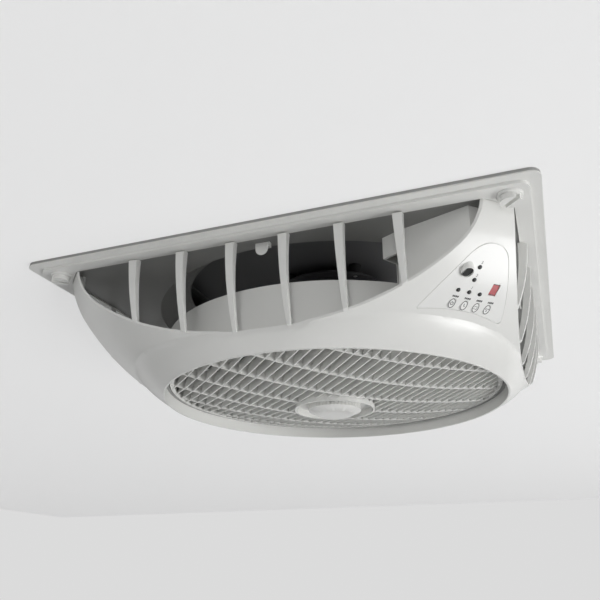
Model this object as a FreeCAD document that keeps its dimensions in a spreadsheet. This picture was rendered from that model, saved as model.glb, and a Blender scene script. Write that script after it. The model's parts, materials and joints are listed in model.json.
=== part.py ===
"""Ceiling panel fan with a turning louvre wheel, modelled as an assembly of separate pieces.

Frame: millimetres, +Z up, origin at the middle of the panel flange's upper face, which lies against the
ceiling. The control panel is on the leg towards +X, -Y.
"""
import FreeCAD, Part
import Sketcher
import math
import os
import re

SIZES = [
    # ceiling panel
    ("panel_side", 595, "ceiling panel, outside width"),
    ("panel_corner", 12, "ceiling panel, corner radius"),
    ("seal_thick", 3.6, "foam seal on the outer flange, thickness"),
    ("seal_width", 14.5, "foam seal on the outer flange, width"),
    ("seal_inset", 0.5, "foam seal on the outer flange, step inside the panel's edge"),
    ("flange_thick", 1.4, "outer flange of the panel, thickness"),
    ("flange_band", 11.2, "outer flange of the panel, width of the visible band"),
    ("flange_wall", 15.5, "outer flange of the panel, width above the field"),
    ("step_depth", 3.3, "field of the panel below its flange"),
    ("field_thick", 3.3, "field of the panel, thickness"),
    ("field_inner", 269.5, "field of the panel, half width of its inner edge"),
    ("inlet_recess", 1.8, "inlet plate, recess above the field"),
    ("inlet_sheet", 1.5, "inlet plate, thickness"),
    ("inlet_radius", 246, "inlet plate, radius of its round opening"),
    ("cone_foot", 8, "inlet cone, width of its foot flange"),
    ("cone_sheet", 1.2, "inlet cone, thickness"),
    ("cone_top_radius", 212, "inlet cone, radius at the top"),
    ("cone_height", 32, "inlet cone, height"),
    ("cone_lip", 5, "inlet cone, width of the lip at the top"),
    # body shell: a turned bowl cut by four side planes, which leaves a leg at each corner
    ("bowl_top_radius", 362, "bowl, radius at the panel"),
    ("shoulder_radius", 341.2, "bowl, radius at the shoulder"),
    ("shoulder_drop", 41.7, "bowl, shoulder below the panel field"),
    ("shoulder_arc", 84, "bowl, radius of the arc above the shoulder"),
    ("crease_radius", 255, "bowl, radius where the flank meets the ring"),
    ("crease_drop", 99.7, "bowl, crease below the panel field"),
    ("flank_arc", 262, "bowl, radius of the arc of the flank"),
    ("rim_radius", 231, "bowl, radius of the round outlet"),
    ("rim_drop", 119.7, "bowl, outlet edge below the panel field"),
    ("ring_top_half", 257, "ring, half width where it springs from the bowl"),
    ("ring_top_corner", 275.5, "ring, distance of its corners where it springs from the bowl"),
    ("ring_top_drop", 87.7, "ring, height level below the panel field where it springs from the bowl"),
    ("ring_mid_half", 247.4, "ring, half width at its middle level"),
    ("ring_mid_corner", 256.5, "ring, distance of its corners at its middle level"),
    ("ring_mid_drop", 106.7, "ring, middle level below the panel field"),
    ("ring_low_half", 236, "ring, half width above its foot"),
    ("ring_low_corner", 238.5, "ring, distance of its corners above its foot"),
    ("ring_low_drop", 116.9, "ring, level above its foot below the panel field"),
    ("ring_foot", 1.6, "ring, width of its flat foot around the outlet"),
    ("shell_wall", 2, "bowl, wall"),
    ("outlet_wall", 2.5, "outlet collar, wall"),
    ("collar_height", 16, "outlet collar, height above the rim"),
    ("collar_flange", 243, "outlet collar, radius of its top flange"),
    ("side_top_half", 269, "side opening plane, distance at the panel"),
    ("side_low_half", 250.6, "side opening plane, distance at its lower level"),
    ("side_low_drop", 104.7, "side opening plane, lower level below the panel field"),
    ("side_arc", 560, "side opening plane, radius of its bow"),
    ("leg_boss_at", 352.5, "leg screw boss, distance from the axis"),
    ("leg_boss_radius", 4.5, "leg screw boss, radius"),
    ("leg_boss_height", 22, "leg screw boss, height"),
    ("leg_screw_radius", 2, "leg screw, shank radius"),
    ("leg_screw_length", 14, "leg screw, length in the boss"),
    ("leg_head_radius", 3.8, "leg screw, head radius"),
    ("leg_head_height", 2.4, "leg screw, head height"),
    # intake grilles
    ("rib_pitch", 62.8, "intake rib, pitch"),
    ("rib_top_width", 10.4, "intake rib, width at the panel"),
    ("rib_low_width", 3.6, "intake rib, width at its lower end"),
    ("rib_top_half", 277, "intake rib, outer edge at the panel"),
    ("rib_top_depth", 9.8, "intake rib, depth at the panel"),
    ("rib_low_depth", 5.4, "intake rib, depth at its lower end"),
    ("rib_top_fall", 2.5, "intake rib, fall of its top towards the outside"),
    ("rib_top_seat", 5, "intake rib, width of its sloping top"),
    ("inner_rib_half", 252.3, "inner intake ribs, outer edge at the lower end"),
    ("inner_rib_drop", 103.5, "inner intake ribs, lower end below the panel field"),
    ("inner_rib_arc", 208, "inner intake ribs, radius of the outer edge"),
    ("middle_rib_half", 253.8, "middle intake ribs, outer edge at the lower end"),
    ("middle_rib_drop", 97.5, "middle intake ribs, lower end below the panel field"),
    ("middle_rib_arc", 246, "middle intake ribs, radius of the outer edge"),
    ("outer_rib_half", 258, "outer intake ribs, outer edge at the lower end"),
    ("outer_rib_drop", 77, "outer intake ribs, lower end below the panel field"),
    ("outer_rib_arc", 240, "outer intake ribs, radius of the outer edge"),
    ("rib_root", 4, "intake rib, length inside the shell before trimming"),
    # upper pan
    ("pan_side", 524, "upper pan, outside width"),
    ("pan_corner", 10, "upper pan, corner radius"),
    ("pan_height", 54, "upper pan, top above the ceiling face"),
    ("pan_sheet", 1, "upper pan, sheet thickness"),
    ("pan_flange", 15, "upper pan, width of its foot flange"),
    ("hanger_at", 215, "hanger hole, distance from the middle along X and Y"),
    ("hanger_hole", 3.5, "hanger hole, radius"),
    ("hanger_side", 40, "hanger plate, width"),
    ("hanger_thick", 2, "hanger plate, thickness"),
    # corner knobs
    ("knob_at", 267, "corner knob, distance from the middle along X and Y"),
    ("knob_radius", 10.6, "corner knob, head radius"),
    ("knob_height", 6, "corner knob, head height"),
    ("knob_slot_width", 4.6, "corner knob, slot width"),
    ("knob_slot_depth", 4.5, "corner knob, slot depth"),
    ("stem_radius", 3.6, "corner knob, stem radius"),
    ("stem_height", 5, "corner knob, stem above the pan flange"),
    ("cam_length", 15, "corner knob, cam bar length"),
    ("cam_width", 3.6, "corner knob, cam bar width"),
    ("cam_height", 2.5, "corner knob, cam bar height"),
    ("cam_gap", 0.4, "corner knob, cam bar above the pan flange"),
    ("collar_radius", 13.5, "knob collar, foot radius"),
    ("collar_top_radius", 12.2, "knob collar, face radius"),
    ("knob_collar_height", 2.6, "knob collar, height"),
    # safety hooks
    ("hook_at", 259, "safety hook, distance from the middle"),
    ("hook_width", 14.8, "safety hook, width"),
    ("hook_drop", 16.4, "safety hook, drop below the inlet plate"),
    ("hook_thick", 2, "safety hook, thickness"),
    ("hook_foot_width", 17.4, "safety hook, width of its foot on the inlet plate"),
    ("hook_foot_depth", 6, "safety hook, depth of its foot on the inlet plate"),
    ("hook_foot_height", 6, "safety hook, height of its foot"),
    ("hook_overlap", 1.5, "safety hook, height of the tab in front of its foot"),
    # shroud and louvre support
    ("shroud_radius", 232, "fan shroud, outside radius"),
    ("shroud_wall", 2, "fan shroud, wall"),
    ("shroud_drop", 48, "fan shroud, top edge below the ceiling face"),
    ("shroud_flange", 2.5, "fan shroud, thickness of its foot flange"),
    ("support_thick", 3, "louvre support, thickness"),
    ("support_inner", 226.9, "louvre support, inside radius of its ring"),
    ("support_wall", 2.5, "louvre support, upright wall"),
    ("support_rise", 16, "louvre support, arms above its ring"),
    ("support_hub", 34, "louvre support, hub radius"),
    ("support_arm", 14, "louvre support, arm width"),
    ("shroud_screws_at", 238, "shroud screw circle, radius"),
    ("shroud_screw_count", 8, "shroud screws, number"),
    ("shroud_screw_radius", 2, "shroud screw, shank radius"),
    ("shroud_hole_play", 0.3, "shroud screw hole, play around the shank"),
    ("shroud_head_radius", 3.8, "shroud screw, head radius"),
    ("shroud_head_height", 2.4, "shroud screw, head height"),
    ("shroud_nut_radius", 3.9, "shroud nut, corner radius"),
    ("shroud_nut_height", 3, "shroud nut, height"),
    # louvre wheel
    ("wheel_turn", 45, "louvre wheel, turn of its ribs at rest in degrees"),
    ("wheel_radius", 225.5, "louvre wheel, outside radius"),
    ("wheel_frame", 5.5, "louvre wheel, width of its outer frame"),
    ("wheel_depth", 14, "louvre wheel, depth"),
    ("wheel_edge_drop", 112.6, "louvre wheel, lower edge of the frame below the ceiling face"),
    ("wheel_dome", 22, "louvre wheel, middle below the edge"),
    ("wheel_rib_pitch", 58.5, "louvre wheel, rib pitch"),
    ("wheel_rib_count", 7, "louvre wheel, ribs"),
    ("wheel_rib_thick", 2.2, "louvre wheel, rib thickness"),
    ("blade_pitch", 12, "louvre wheel, blade pitch"),
    ("blade_count", 37, "louvre wheel, blades"),
    ("blade_thick", 1.5, "louvre wheel, blade thickness"),
    ("blade_offset", 3.5, "louvre wheel, middle blade beside the axis"),
    ("blade_lean", 2, "louvre wheel, lean of a blade over its depth"),
    ("cup_radius", 55, "louvre wheel, hub cup outside radius"),
    ("cup_wall", 2.2, "louvre wheel, hub cup wall"),
    ("cup_drop", 138, "louvre wheel, hub cup edge below the ceiling face"),
    ("cup_height", 18, "louvre wheel, hub cup height"),
    ("cup_floor_lift", 9, "louvre wheel, hub cup floor above its edge"),
    ("cup_floor", 2.5, "louvre wheel, hub cup floor thickness"),
    ("spindle_radius", 4, "louvre spindle, radius"),
    ("spindle_shoulder", 9, "louvre spindle, shoulder radius"),
    ("spindle_shoulder_height", 3, "louvre spindle, shoulder height"),
    ("louvre_motor_radius", 25, "louvre motor, radius"),
    ("louvre_motor_height", 16, "louvre motor, height"),
    ("louvre_ear_at", 29.5, "louvre motor screw, distance from the axis"),
    ("louvre_ear_radius", 4, "louvre motor ear, radius"),
    ("louvre_ear_height", 3, "louvre motor ear, height"),
    ("louvre_screw_radius", 1.5, "louvre motor screw, shank radius"),
    ("louvre_head_radius", 2.8, "louvre motor screw, head radius"),
    ("louvre_head_height", 1.8, "louvre motor screw, head height"),
    ("cap_radius", 36, "louvre cap, radius"),
    ("cap_wall", 2.2, "louvre cap, wall"),
    ("cap_side", 9.5, "louvre cap, height of its fluted side"),
    ("cap_nose_radius", 23, "louvre cap, radius of its flat nose"),
    ("cap_nose_drop", 6.5, "louvre cap, nose below the fluted side"),
    ("cap_boss_radius", 9, "louvre cap, boss radius"),
    ("flute_radius", 0.8, "louvre cap, flute radius"),
    ("flute_count", 44, "louvre cap, flutes"),
    # impeller
    ("impeller_radius", 205, "impeller, tip radius"),
    ("impeller_hub", 48, "impeller, hub radius"),
    ("impeller_hub_height", 34, "impeller, hub height"),
    ("impeller_wall", 3, "impeller, hub wall"),
    ("impeller_boss", 13, "impeller, bore boss radius"),
    ("impeller_drop", 48, "impeller, hub top below the ceiling face"),
    ("impeller_blades", 5, "impeller, blades"),
    ("impeller_root_chord", 42, "impeller, blade chord at the hub"),
    ("impeller_tip_chord", 104, "impeller, blade chord at the tip"),
    ("impeller_root_pitch", 38, "impeller, blade angle at the hub in degrees"),
    ("impeller_tip_pitch", 17, "impeller, blade angle at the tip in degrees"),
    ("impeller_blade_thick", 2.4, "impeller, blade thickness"),
    ("impeller_nut_radius", 10, "impeller nut, corner radius"),
    ("impeller_nut_height", 5, "impeller nut, height"),
    # motor
    ("shaft_radius", 6, "motor shaft, radius"),
    ("motor_radius", 62, "motor housing, outside radius"),
    ("motor_wall", 2, "motor housing, wall"),
    ("motor_half", 36, "motor housing, height of each half"),
    ("motor_flange", 72, "motor housing, flange radius"),
    ("motor_flange_thick", 2, "motor housing, flange thickness"),
    ("motor_screw_at", 67, "motor housing screws, distance from the axis"),
    ("motor_screw_radius", 2, "motor housing screw, shank radius"),
    ("motor_screw_head", 3.8, "motor housing screw, head radius"),
    ("motor_screw_head_height", 2.4, "motor housing screw, head height"),
    ("stator_inner", 36.5, "stator, bore radius"),
    ("stator_height", 38, "stator, height"),
    ("winding_inner", 40, "windings, inside radius"),
    ("winding_outer", 54, "windings, outside radius"),
    ("winding_height", 8, "windings, height over the stator"),
    ("air_gap", 0.6, "rotor, gap to the stator"),
    ("bearing_radius", 16, "bearing, outside radius"),
    ("bearing_height", 9, "bearing, height"),
    ("bearing_seat", 3, "bearing seat, wall"),
    ("shaft_port", 8.5, "motor lower housing, shaft port radius"),
    ("plate_radius", 78, "motor plate, radius"),
    ("plate_thick", 2.5, "motor plate, thickness"),
    ("isolator_height", 14, "rubber isolator, height"),
    ("isolator_radius", 9, "rubber isolator, radius"),
    ("isolator_at", 69, "rubber isolator, distance from the axis"),
    ("isolator_screw", 3, "isolator screw, shank radius"),
    ("isolator_head", 5.5, "isolator screw, head radius"),
    ("isolator_head_height", 4, "isolator screw, head height"),
    # capacitor and terminal box
    ("capacitor_x", 130, "run capacitor, place along X"),
    ("capacitor_y", 120, "run capacitor, place along Y"),
    ("capacitor_radius", 15, "run capacitor, radius"),
    ("capacitor_height", 48, "run capacitor, height"),
    ("clip_wall", 1.5, "capacitor clip, wall"),
    ("clip_height", 14, "capacitor clip, height"),
    ("terminal_x", -150, "terminal box, middle along X"),
    ("terminal_y", 120, "terminal box, middle along Y"),
    ("terminal_length", 104, "terminal box, length"),
    ("terminal_width", 68, "terminal box, width"),
    ("terminal_height", 36, "terminal box, height"),
    ("terminal_wall", 2.5, "terminal box, wall"),
    ("cover_thick", 3, "terminal box cover, thickness"),
    ("block_length", 60, "terminal block, length"),
    ("block_width", 20, "terminal block, width"),
    ("block_height", 16, "terminal block, height"),
    ("gland_radius", 9, "cable gland, nut radius"),
    ("gland_thread", 7, "cable gland, thread radius"),
    ("gland_bore", 4.5, "cable gland, bore radius"),
    ("gland_length", 16, "cable gland, length outside the box"),
    ("gland_inside", 6, "cable gland, length inside the box"),
    # control panel: its own frame lies on the leg, u across, v up the slope, w outwards
    ("control_slope", 52.2, "control frame, place on the flank, slope of its outward axis in degrees"),
    ("fascia_thick", 1.2, "control fascia, thickness"),
    ("fascia_gap", 0.5, "control fascia, groove around it"),
    ("fascia_low", -46.6, "control fascia, left corner along v"),
    ("fascia_left", -46.4, "control fascia, left corner along u"),
    ("fascia_right", 61.5, "control fascia, right corner along u"),
    ("fascia_right_low", -47.6, "control fascia, right corner along v"),
    ("fascia_shoulder", 27.3, "control fascia, ends of its round top along v"),
    ("fascia_top_left", -17.6, "control fascia, left end of its round top along u"),
    ("fascia_top_right", 27.2, "control fascia, right end of its round top along u"),
    ("fascia_top_arc", 25.65, "control fascia, radius of its round top"),
    ("fascia_left_arc", 320, "control fascia, radius of the left edge"),
    ("fascia_right_arc", 630, "control fascia, radius of the right edge"),
    ("fascia_low_arc", 158, "control fascia, radius of its hollow lower edge"),
    ("fascia_tip", 2, "control fascia, radius of its lower left corner"),
    ("fascia_corner", 4, "control fascia, radius of its lower right corner"),
    ("button_half_width", 4.3, "push button, half of its oval along u"),
    ("button_half_height", 6.4, "push button, half of its oval along v"),
    ("button_flange", 1.6, "push button, flange around it behind the wall"),
    ("button_flange_thick", 1.5, "push button, flange thickness"),
    ("button_proud", 0.3, "push button, height over the fascia"),
    ("button_fit", 0.15, "push button, clearance in its hole"),
    ("button_room", 2.4, "push button, flange behind the wall at rest"),
    ("button_low", -31.8, "push buttons, place along v"),
    ("button_first", -12.3, "push buttons, first one along u"),
    ("button_pitch", 15.1, "push buttons, pitch"),
    ("lamp_radius", 2.4, "indicator lens, radius"),
    ("lamp_proud", 0.3, "indicator lens, height over the control frame"),
    ("lamp_row", -15.2, "indicator lenses, row along v"),
    ("lamp_pitch", 13.5, "indicator lenses, pitch along u"),
    ("lamp_step", 14.5, "indicator lenses, step along v"),
    ("display_left", 23.5, "display window, left edge along u"),
    ("display_low", -14.5, "display window, lower edge along v"),
    ("display_width", 9.6, "display window, width"),
    ("display_height", 14, "display window, height"),
    ("receiver_left", -15.3, "infrared receiver, middle of its end along u"),
    ("receiver_up", 6.2, "infrared receiver, middle of its end along v"),
    ("receiver_radius", 6.8, "infrared receiver tube, radius"),
    ("receiver_slope", 68, "infrared receiver, slope of its end's outward axis in degrees"),
    ("receiver_depth", 10, "infrared receiver tube, depth behind the control frame"),
    ("receiver_reach", 30, "infrared receiver, length of its cutting tools"),
    ("receiver_fit", 0, "infrared receiver tube, clearance in its hole, where it is glued"),
    ("receiver_proud", 2.7, "infrared receiver, middle of its end over the control frame"),
    ("lens_radius", 5.9, "infrared lens, radius"),
    ("lens_recess", 1, "infrared lens, height inside its tube"),
    ("window_depth", 6, "lenses and window, depth behind the fascia"),
    ("board_depth", 12, "control board, face behind the control frame"),
    ("board_thick", 1.6, "control board, thickness"),
    ("board_left", -24, "control board, left edge along u"),
    ("board_right", 38, "control board, right edge along u"),
    ("board_low", -38, "control board, lower edge along v"),
    ("board_top", 12, "control board, upper edge along v"),
    ("board_notch_width", 12, "control board, corner cut off at the upper right, along u"),
    ("board_notch_height", 16, "control board, corner cut off at the upper right, along v"),
    ("post_radius", 3, "control board post, radius"),
    ("post_margin", 4, "control board post, middle inside the board's edge"),
    ("post_low", -19, "control board, lower pair of posts along v"),
    ("post_top_left", 0, "control board, upper left post along v"),
    # control box behind the control leg
    ("box_inner", 252, "control box, radius of its inner wall"),
    ("box_near", 128, "control box, near corner of the inner wall"),
    ("box_edge", 146, "control box, corner along the side, across"),
    ("box_edge_half", 231, "control box, corner along the side, out"),
    ("box_leg", 226, "control box, corner at the leg, across"),
    ("box_leg_half", 259, "control box, corner at the leg, out"),
    ("box_wall", 2, "control box, wall"),
    ("box_gap", 0.6, "control box, clearance to the bowl's wall"),
    ("box_near_height", 26, "control box, height of the near wall below the inlet plate"),
    ("box_near_cut", 18, "control box, width cut away below the near wall"),
    # fits
    ("running_fit", 0.06, "running clearance of shafts in their bores, on radius"),
    ("seat_gap", 0.3, "clearance between pieces that don't touch, on radius"),
    ("through", 400, "length of a cutting tool"),
]

FORMULAS = {
    "panel_half": "panel_side / 2",
    "flange_under": "-(seal_thick + flange_thick)",
    "field_z": "flange_under - step_depth",
    "field_top": "field_z + field_thick",
    "inlet_under": "field_z + inlet_recess",
    "shoulder_z": "field_z - shoulder_drop",
    "crease_z": "field_z - crease_drop",
    "rim_z": "field_z - rim_drop",
    "side_low_z": "field_z - side_low_drop",
    "collar_top": "rim_z + collar_height",
    "support_top": "collar_top + support_thick",
    "arm_low": "collar_top + support_rise",
    "shroud_top": "-shroud_drop",
    "pan_foot": "field_top",
    "pan_foot_top": "pan_foot + pan_sheet",
    "pan_under": "pan_height - pan_sheet",
    "wheel_edge": "-wheel_edge_drop",
    "wheel_top": "wheel_edge + wheel_depth",
    "wheel_middle": "wheel_edge - wheel_dome",
    "wheel_sphere": "(wheel_radius ^ 2 + wheel_dome ^ 2) / (2 * wheel_dome)",
    "cup_edge": "-cup_drop",
    "cup_floor_under": "cup_edge + cup_floor_lift",
    "cup_floor_top": "cup_floor_under + cup_floor",
    "louvre_motor_low": "arm_low - louvre_motor_height",
    "cap_top": "cup_floor_under",
    "cap_low": "cap_top - cap_side",
    "cap_nose": "cap_low - cap_nose_drop",
    "impeller_top": "-impeller_drop",
    "impeller_low": "impeller_top - impeller_hub_height",
    "nut_low": "impeller_low - impeller_nut_height",
    "plate_top": "pan_under - isolator_height",
    "plate_low": "plate_top - plate_thick",
    "motor_mid": "plate_low - motor_half",
    "motor_low": "motor_mid - motor_half",
    "stator_low": "motor_mid - stator_height / 2",
    "upper_bearing_low": "plate_low - motor_wall - bearing_height",
    "lower_bearing_low": "motor_low + motor_wall",
    "shaft_top": "upper_bearing_low + bearing_height",
    "board_face": "-board_depth",
    "flank_run": "shoulder_radius - crease_radius",
    "flank_fall": "crease_drop - shoulder_drop",
    "flank_chord": "sqrt(flank_run ^ 2 + flank_fall ^ 2)",
    "flank_lift": "sqrt(flank_arc ^ 2 - (flank_chord / 2) ^ 2)",
    "flank_middle_radius": "(shoulder_radius + crease_radius) / 2 - flank_lift * flank_fall / flank_chord",
    "flank_middle_z": "(shoulder_z + crease_z) / 2 + flank_lift * flank_run / flank_chord",
    "control_radius": "flank_middle_radius + flank_arc * cos(control_slope * 1 deg)",
    "control_z": "flank_middle_z - flank_arc * sin(control_slope * 1 deg)",
    "across_arc": "control_radius / cos(control_slope * 1 deg)",
}

doc = FreeCAD.newDocument("CeilingLouvreFan")
sheet = doc.addObject("Spreadsheet::Sheet", "Sizes")
for row, (alias, size, meaning) in enumerate(SIZES, start=1):
    sheet.set(f"A{row}", meaning)
    sheet.set(f"B{row}", str(size))
    sheet.setAlias(f"B{row}", alias)
doc.recompute()

ALIASES = {alias for alias, size, meaning in SIZES}
NODES = []


def full(text):
    """An expression with every formula written out and every size read from the sheet."""
    def swap(match):
        word = match.group(0)
        if word in FORMULAS:
            return "(" + full(FORMULAS[word]) + ")"
        return "Sizes." + word if word in ALIASES else word
    return re.sub(r"[A-Za-z_][A-Za-z_0-9]*", swap, str(text))


def value(text):
    """The number that an expression gives now."""
    result = sheet.evalExpression(full(text))
    return float(getattr(result, "Value", result))


def bind(obj, **expressions):
    """Bind properties to expressions; a double underscore stands for a dot."""
    for name, text in expressions.items():
        obj.setExpression(name.replace("__", "."), full(text))


def place(obj, x="0", y="0", z="0"):
    bind(obj, Placement__Base__x=x, Placement__Base__y=y, Placement__Base__z=z)


def turn_z(obj, degrees):
    obj.Placement.Rotation = FreeCAD.Rotation(FreeCAD.Vector(0, 0, 1), degrees)


def node(obj, name):
    """Keep an object as one of the part's nodes."""
    obj.Label = name
    NODES.append(obj)
    return obj


# ---------------------------------------------------------------- primitives and booleans

def cylinder(name, radius, height, x="0", y="0", z="0"):
    obj = doc.addObject("Part::Cylinder", name)
    bind(obj, Radius=radius, Height=height)
    place(obj, x, y, z)
    return obj


def oval(name, half_width, half_height, height):
    """An upright body with an oval outline, half_height being its longer half."""
    outline = doc.addObject("Part::Ellipse", name + "_outline")
    bind(outline, MajorRadius=half_height, MinorRadius=half_width)
    turn_z(outline, 90)
    obj = doc.addObject("Part::Extrusion", name)
    obj.Base = outline
    obj.DirMode = "Custom"
    obj.Dir = FreeCAD.Vector(0, 0, 1)
    obj.Solid = True
    bind(obj, LengthFwd=height)
    return obj


def box(name, length, width, height, x="0", y="0", z="0"):
    """A box whose middle is at x, y and whose foot is at z."""
    obj = doc.addObject("Part::Box", name)
    bind(obj, Length=length, Width=width, Height=height)
    place(obj, f"{x} - ({length}) / 2", f"{y} - ({width}) / 2", z)
    return obj


def cone(name, low_radius, top_radius, height, x="0", y="0", z="0"):
    obj = doc.addObject("Part::Cone", name)
    bind(obj, Radius1=low_radius, Radius2=top_radius, Height=height)
    place(obj, x, y, z)
    return obj


def prism(name, corners, radius, height, x="0", y="0", z="0"):
    obj = doc.addObject("Part::Prism", name)
    obj.Polygon = corners
    bind(obj, Circumradius=radius, Height=height)
    place(obj, x, y, z)
    return obj


def cut(name, base, tool):
    obj = doc.addObject("Part::Cut", name)
    obj.Base = base
    obj.Tool = tool
    return obj


def fuse(name, *shapes):
    obj = doc.addObject("Part::MultiFuse", name)
    obj.Shapes = list(shapes)
    return obj


def common(name, *shapes):
    obj = doc.addObject("Part::MultiCommon", name)
    obj.Shapes = list(shapes)
    return obj


def group(name, shapes):
    """Separate solids that share one node."""
    obj = doc.addObject("Part::Compound", name)
    obj.Links = list(shapes)
    return obj


def ring(name, outer, inner, height, x="0", y="0", z="0"):
    return cut(name, cylinder(name + "_outside", outer, height, x, y, z),
               cylinder(name + "_bore", inner, height, x, y, z))


def at_corners(distance):
    """The four corners of a square as pairs of expressions, anticlockwise from +X, +Y."""
    plus, minus = f"({distance})", f"(-({distance}))"
    return [(plus, plus), (minus, plus), (minus, minus), (plus, minus)]


def on_circle(radius, count, start=0.0):
    """Places on a circle about the axis as pairs of expressions."""
    angles = [start + 360.0 * step / count for step in range(count)]
    return [(f"({radius}) * cos({angle} deg)", f"({radius}) * sin({angle} deg)") for angle in angles]


# ---------------------------------------------------------------- sketches and bodies

def arc_between(start, end, radius, side):
    """A circular arc from start to end; side +1 puts its centre on the left of that way, -1 on the right."""
    (ax, ay), (bx, by) = start, end
    chord = math.hypot(bx - ax, by - ay)
    lift = math.sqrt(max(radius ** 2 - (chord / 2) ** 2, 0.0))
    cx = (ax + bx) / 2 - side * lift * (by - ay) / chord
    cy = (ay + by) / 2 + side * lift * (bx - ax) / chord
    first, last = (start, end) if side > 0 else (end, start)
    angle_one = math.atan2(first[1] - cy, first[0] - cx)
    angle_two = math.atan2(last[1] - cy, last[0] - cx)
    circle = Part.Circle(FreeCAD.Vector(cx, cy, 0), FreeCAD.Vector(0, 0, 1), radius)
    return Part.ArcOfCircle(circle, angle_one, angle_two)


def fix_point(sketch, geometry, end, x, y):
    """Hold a point of the sketch at two expressions, on an axis where one of them is zero."""
    for text, kind, axis in ((x, "DistanceX", -2), (y, "DistanceY", -1)):
        if text == "0":
            sketch.addConstraint(Sketcher.Constraint("PointOnObject", geometry, end, axis))
        else:
            index = sketch.addConstraint(Sketcher.Constraint(kind, -1, 1, geometry, end, value(text)))
            sketch.setExpression(f"Constraints[{index}]", full(text))


def draw_loop(sketch, corners):
    """Draw a closed outline. A corner is (x, y), or (x, y, radius, side) where an arc leads on from it."""
    points = [(value(corner[0]), value(corner[1])) for corner in corners]
    ends = []
    for index, corner in enumerate(corners):
        start, end = points[index], points[(index + 1) % len(points)]
        if len(corner) == 4:
            geometry = sketch.addGeometry(arc_between(start, end, value(corner[2]), corner[3]), False)
            ends.append((geometry, 1, 2) if corner[3] > 0 else (geometry, 2, 1))
        else:
            line = Part.LineSegment(FreeCAD.Vector(*start, 0), FreeCAD.Vector(*end, 0))
            ends.append((sketch.addGeometry(line, False), 1, 2))
    for index, (geometry, first, last) in enumerate(ends):
        following = ends[(index + 1) % len(ends)]
        sketch.addConstraint(Sketcher.Constraint("Coincident", geometry, last, following[0], following[1]))
    for (geometry, first, last), corner in zip(ends, corners):
        fix_point(sketch, geometry, first, corner[0], corner[1])
        if len(corner) == 4:
            index = sketch.addConstraint(Sketcher.Constraint("Radius", geometry, value(corner[2])))
            sketch.setExpression(f"Constraints[{index}]", full(corner[2]))


def draw_circle(sketch, x, y, radius):
    circle = Part.Circle(FreeCAD.Vector(value(x), value(y), 0), FreeCAD.Vector(0, 0, 1), value(radius))
    geometry = sketch.addGeometry(circle, False)
    fix_point(sketch, geometry, 3, x, y)
    index = sketch.addConstraint(Sketcher.Constraint("Radius", geometry, value(radius)))
    sketch.setExpression(f"Constraints[{index}]", full(radius))


def new_body(name):
    return doc.addObject("PartDesign::Body", name)


def new_sketch(body, name, plane, offset="0"):
    """A sketch on one of the body's own origin planes, moved along that plane's normal."""
    sketch = body.newObject("Sketcher::SketchObject", name)
    support = next(item for item in body.Origin.OriginFeatures if item.Role == plane)
    sketch.AttachmentSupport = [(support, "")]
    sketch.MapMode = "FlatFace"
    if offset != "0":
        bind(sketch, AttachmentOffset__Base__z=offset)
    return sketch


def turned(name, corners):
    """A body turned about Z from an outline in radius and height."""
    body = new_body(name)
    sketch = new_sketch(body, name + "_profile", "XZ_Plane")
    draw_loop(sketch, corners)
    feature = body.newObject("PartDesign::Revolution", name + "_turning")
    feature.Profile = sketch
    feature.ReferenceAxis = (sketch, ["V_Axis"])
    feature.Angle = 360
    body.Tip = feature
    return body


def padded(name, plane, corners, length, offset="0"):
    """A body padded from an outline on one of its origin planes."""
    body = new_body(name)
    sketch = new_sketch(body, name + "_outline", plane, offset)
    draw_loop(sketch, corners)
    feature = body.newObject("PartDesign::Pad", name + "_pad")
    feature.Profile = sketch
    bind(feature, Length=length)
    body.Tip = feature
    return body


def patterned(body, feature, kind, name, axis, **settings):
    """Repeat a feature of a body about or along one of the body's origin axes."""
    pattern = body.newObject("PartDesign::" + kind, name)
    pattern.Originals = [feature]
    line = next(item for item in body.Origin.OriginFeatures if item.Role == axis)
    setattr(pattern, "Axis" if kind == "PolarPattern" else "Direction", (line, [""]))
    for setting, text in settings.items():
        bind(pattern, **{setting: text})
    body.Tip = pattern
    return pattern


def rounded_square(half, radius):
    """A square outline with round corners, as corners for draw_loop."""
    inner = f"({half}) - ({radius})"
    plus, minus = f"({half})", f"-({half})"
    near, far = f"({inner})", f"-({inner})"
    return [(plus, far), (plus, near, radius, 1), (near, plus), (far, plus, radius, 1),
            (minus, near), (minus, far, radius, 1), (far, minus), (near, minus, radius, 1)]


# ---------------------------------------------------------------- ceiling panel and upper pan

def ceiling_panel():
    flange = padded("panel_flange", "XY_Plane", rounded_square("panel_half", "panel_corner"),
                    "flange_thick", "flange_under")
    hollow = box("panel_hollow", "panel_side - 2 * flange_wall", "panel_side - 2 * flange_wall",
                 "flange_thick", z="flange_under")
    field = padded("panel_field", "XY_Plane",
                   rounded_square("panel_half - flange_band", "panel_corner"), "field_thick", "field_z")
    shape = fuse("panel_sheet_and_flange", cut("panel_frame", flange, hollow), field)
    opening = inlet_outline("panel_opening", "0", "through", "-through / 2")
    bores = [cylinder(f"panel_knob_bore_{index}", "stem_radius + running_fit", "through", x, y,
                      "-through / 2")
             for index, (x, y) in enumerate(at_corners("knob_at"))]
    return node(cut("ceiling_panel", shape, fuse("panel_bores", opening, *bores)), "ceiling_panel")


def flange_gasket():
    outside = padded("seal_outside", "XY_Plane",
                     rounded_square("panel_half - seal_inset", "panel_corner - seal_inset"),
                     "seal_thick", "-seal_thick")
    hollow = box("seal_hollow", "panel_side - 2 * (seal_inset + seal_width)",
                 "panel_side - 2 * (seal_inset + seal_width)", "seal_thick", z="-seal_thick")
    return node(cut("flange_gasket", outside, hollow), "flange_gasket")


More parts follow.
